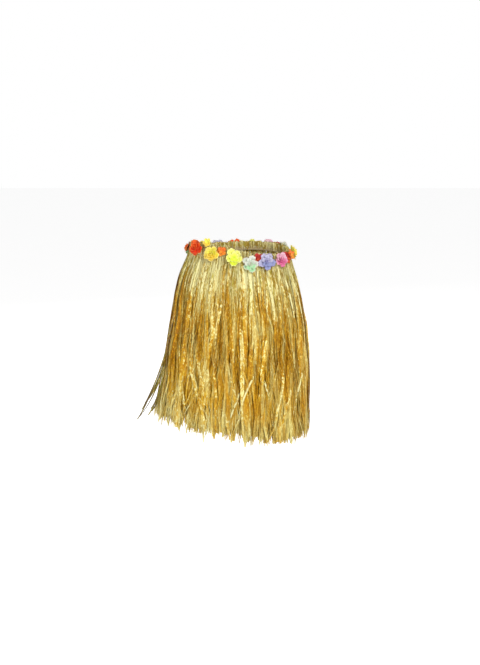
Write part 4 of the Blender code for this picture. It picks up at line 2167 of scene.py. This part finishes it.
@dataclass
class Studio:
    """A pale floor, soft light and the camera."""

    floor: FloorFinish
    lamps: Sequence[Lamp]
    floor_height: float = -0.95
    floor_reach: float = 14.0
    world_strength: float = 0.50
    distance: float = 3.60
    eye_height: float = 0.50
    aim: tuple[float, float, float] = (-0.0033, 0.0, -0.270)
    lens: float = 60.54
    sensor: float = 36.0

    def build(self) -> None:
        """Builds the camera, the lights and the floor."""
        self.build_camera()
        for lamp in self.lamps:
            self.build_lamp(lamp)
        self.build_world()
        reach = self.floor_reach
        corners = [(-reach, -reach), (reach, -reach), (reach, reach), (-reach, reach)]
        mesh = bpy.data.meshes.new("floor")
        mesh.from_pydata([(x, y, self.floor_height) for x, y in corners], [], [(0, 1, 2, 3)])
        mesh.materials.append(self.floor.material())
        link("floor", mesh)

    def build_camera(self) -> None:
        """Sets up the camera, looking a little down from in front."""
        data = bpy.data.cameras.new("camera")
        data.lens = self.lens
        data.sensor_width = self.sensor
        camera = bpy.data.objects.new("camera", data)
        camera.location = (0.0, -self.distance, self.eye_height)
        look = Vector(self.aim) - camera.location
        camera.rotation_euler = look.to_track_quat("-Z", "Y").to_euler()
        bpy.context.scene.collection.objects.link(camera)
        bpy.context.scene.camera = camera

    def build_lamp(self, lamp: Lamp) -> None:
        """Adds one light, aimed at the skirt.

        Args:
            lamp: The light.
        """
        data = bpy.data.lights.new(lamp.name, "AREA")
        data.size = lamp.size
        data.energy = lamp.power
        data.color = lamp.colour
        made = bpy.data.objects.new(lamp.name, data)
        made.location = lamp.place
        look = Vector(self.aim) - made.location
        made.rotation_euler = look.to_track_quat("-Z", "Y").to_euler()
        bpy.context.scene.collection.objects.link(made)

    def build_world(self) -> None:
        """Fills the room with even white light."""
        world = bpy.data.worlds.new("studio_air")
        bpy.context.scene.world = world
        world.use_nodes = True
        tree = Tree(world.node_tree)
        sky = world.node_tree.nodes["Background"]
        tree.feed(sky.inputs["Color"], rgba((1.0, 1.0, 1.0)))
        seen = tree.read(tree.node("ShaderNodeLightPath"), "Is Camera Ray")
        tree.feed(sky.inputs["Strength"], self.world_strength + seen * (1.0 - self.world_strength))
        bpy.context.scene.view_settings.view_transform = "Standard"


# ---- The whole scene ----


def report(piece: bpy.types.Object) -> None:
    """Logs a finished piece's name and size."""
    mesh = piece.data
    LOG.info("%s: %d points, %d faces", piece.name, len(mesh.vertices), len(mesh.polygons))


# The lining and inner straw are darker copies of the same straw: painted shade for the layers beneath
# the outer strands.
UNDER_STRAW_PAINTED_SHADE = StrawFinish("straw_under_painted_shade", lightness=-0.20)
INNER_STRAW_PAINTED_SHADE = StrawFinish("straw_inner_painted_shade", lightness=-0.08)
STRAY_STRAW = StrawFinish("straw_stray", lightness=-0.40, umber=(0.16, 0.11, 0.05),
                          deep=(0.30, 0.21, 0.08))
OUTER_STRAW = StrawFinish("straw_outer")
# The face straw paints more sparkle into its colour.
FACE_STRAW = StrawFinish("straw_face", painted_sparkle=1.5)


def main() -> None:
    """Builds the studio and every piece of the skirt, in order."""
    logging.basicConfig(level=logging.INFO, format="%(name)s: %(message)s")
    Studio(
        floor=FloorFinish(),
        lamps=(
            Lamp("key", (1.5, -2.6, 1.7), 0.7, 60.0, (1.0, 0.98, 0.94)),
            Lamp("fill", (-2.2, -2.2, 0.5), 1.6, 17.0),
            Lamp("back", (-0.8, 2.6, 1.6), 1.4, 46.0),
        ),
    ).build()
    straw = Straw(
        layers=(
            # The lower tones of the lining, inner and middle layers are painted shade for the strands
            # beneath the outer ones.
            StrandLayer("strands_lining", "hank_inner", UNDER_STRAW_PAINTED_SHADE, "inner_strands", per_hank=20,
                        body_steps=40, columns=2, inset_top=0.0072, inset_hem=0.0175,
                        spread_top=0.0006, spread_hem=0.0020, crest=0.0, width=0.0088,
                        shorter=0.014, tone=0.32, seed=101, locks=3, lock_pull=0.15),
            StrandLayer("strands_inner", "hank_inner", INNER_STRAW_PAINTED_SHADE, "inner_strands", per_hank=22,
                        body_steps=40, columns=2, inset_top=0.0055, inset_hem=0.0135,
                        spread_top=0.0006, spread_hem=0.0025, crest=0.0, width=0.0078,
                        shorter=0.006, tone=0.37, seed=102, locks=4, lock_pull=0.30),
            StrandLayer("strands_middle", "hank_outer", INNER_STRAW_PAINTED_SHADE, "outer_strands", per_hank=20,
                        body_steps=56, columns=3, inset_top=0.0036, inset_hem=0.0058,
                        spread_top=0.0010, spread_hem=0.0030, crest=0.0085, width=0.0072,
                        shorter=0.003, tone=0.40, seed=103, locks=3, lock_pull=0.50),
            StrandLayer("strands_outer", "hank_outer", OUTER_STRAW, "outer_strands", per_hank=22,
                        body_steps=68, columns=3, inset_top=0.0018, inset_hem=0.0015,
                        spread_top=0.0012, spread_hem=0.0030, crest=0.0080, width=0.0070,
                        shorter=0.000, tone=0.42, seed=104, locks=4, lock_pull=0.62),
            StrandLayer("strands_fine", "hank_outer", OUTER_STRAW, "outer_strands", per_hank=24,
                        body_steps=60, columns=1, inset_top=0.0006, inset_hem=-0.0006,
                        spread_top=0.0010, spread_hem=0.0028, crest=0.0070, width=0.0024,
                        shorter=0.000, tone=0.46, seed=105, locks=5, lock_pull=0.30, straying=1.6),
            FaceLayer("strands_face", FACE_STRAW, "outer_strands", FACE_RIBBONS),
            StrayLayer("strands_stray", STRAY_STRAW, "outer_strands"),
        )
    )
    straw.build()
    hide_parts(*nodes_named("hank_inner"))
    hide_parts(*nodes_named("hank_outer"))
    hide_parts(*nodes_named("stray_"))
    Waistband(ElasticFinish(), ThreadFinish()).build()
    Garland(FLOWERS).build()


if __name__ == "__main__":
    main()
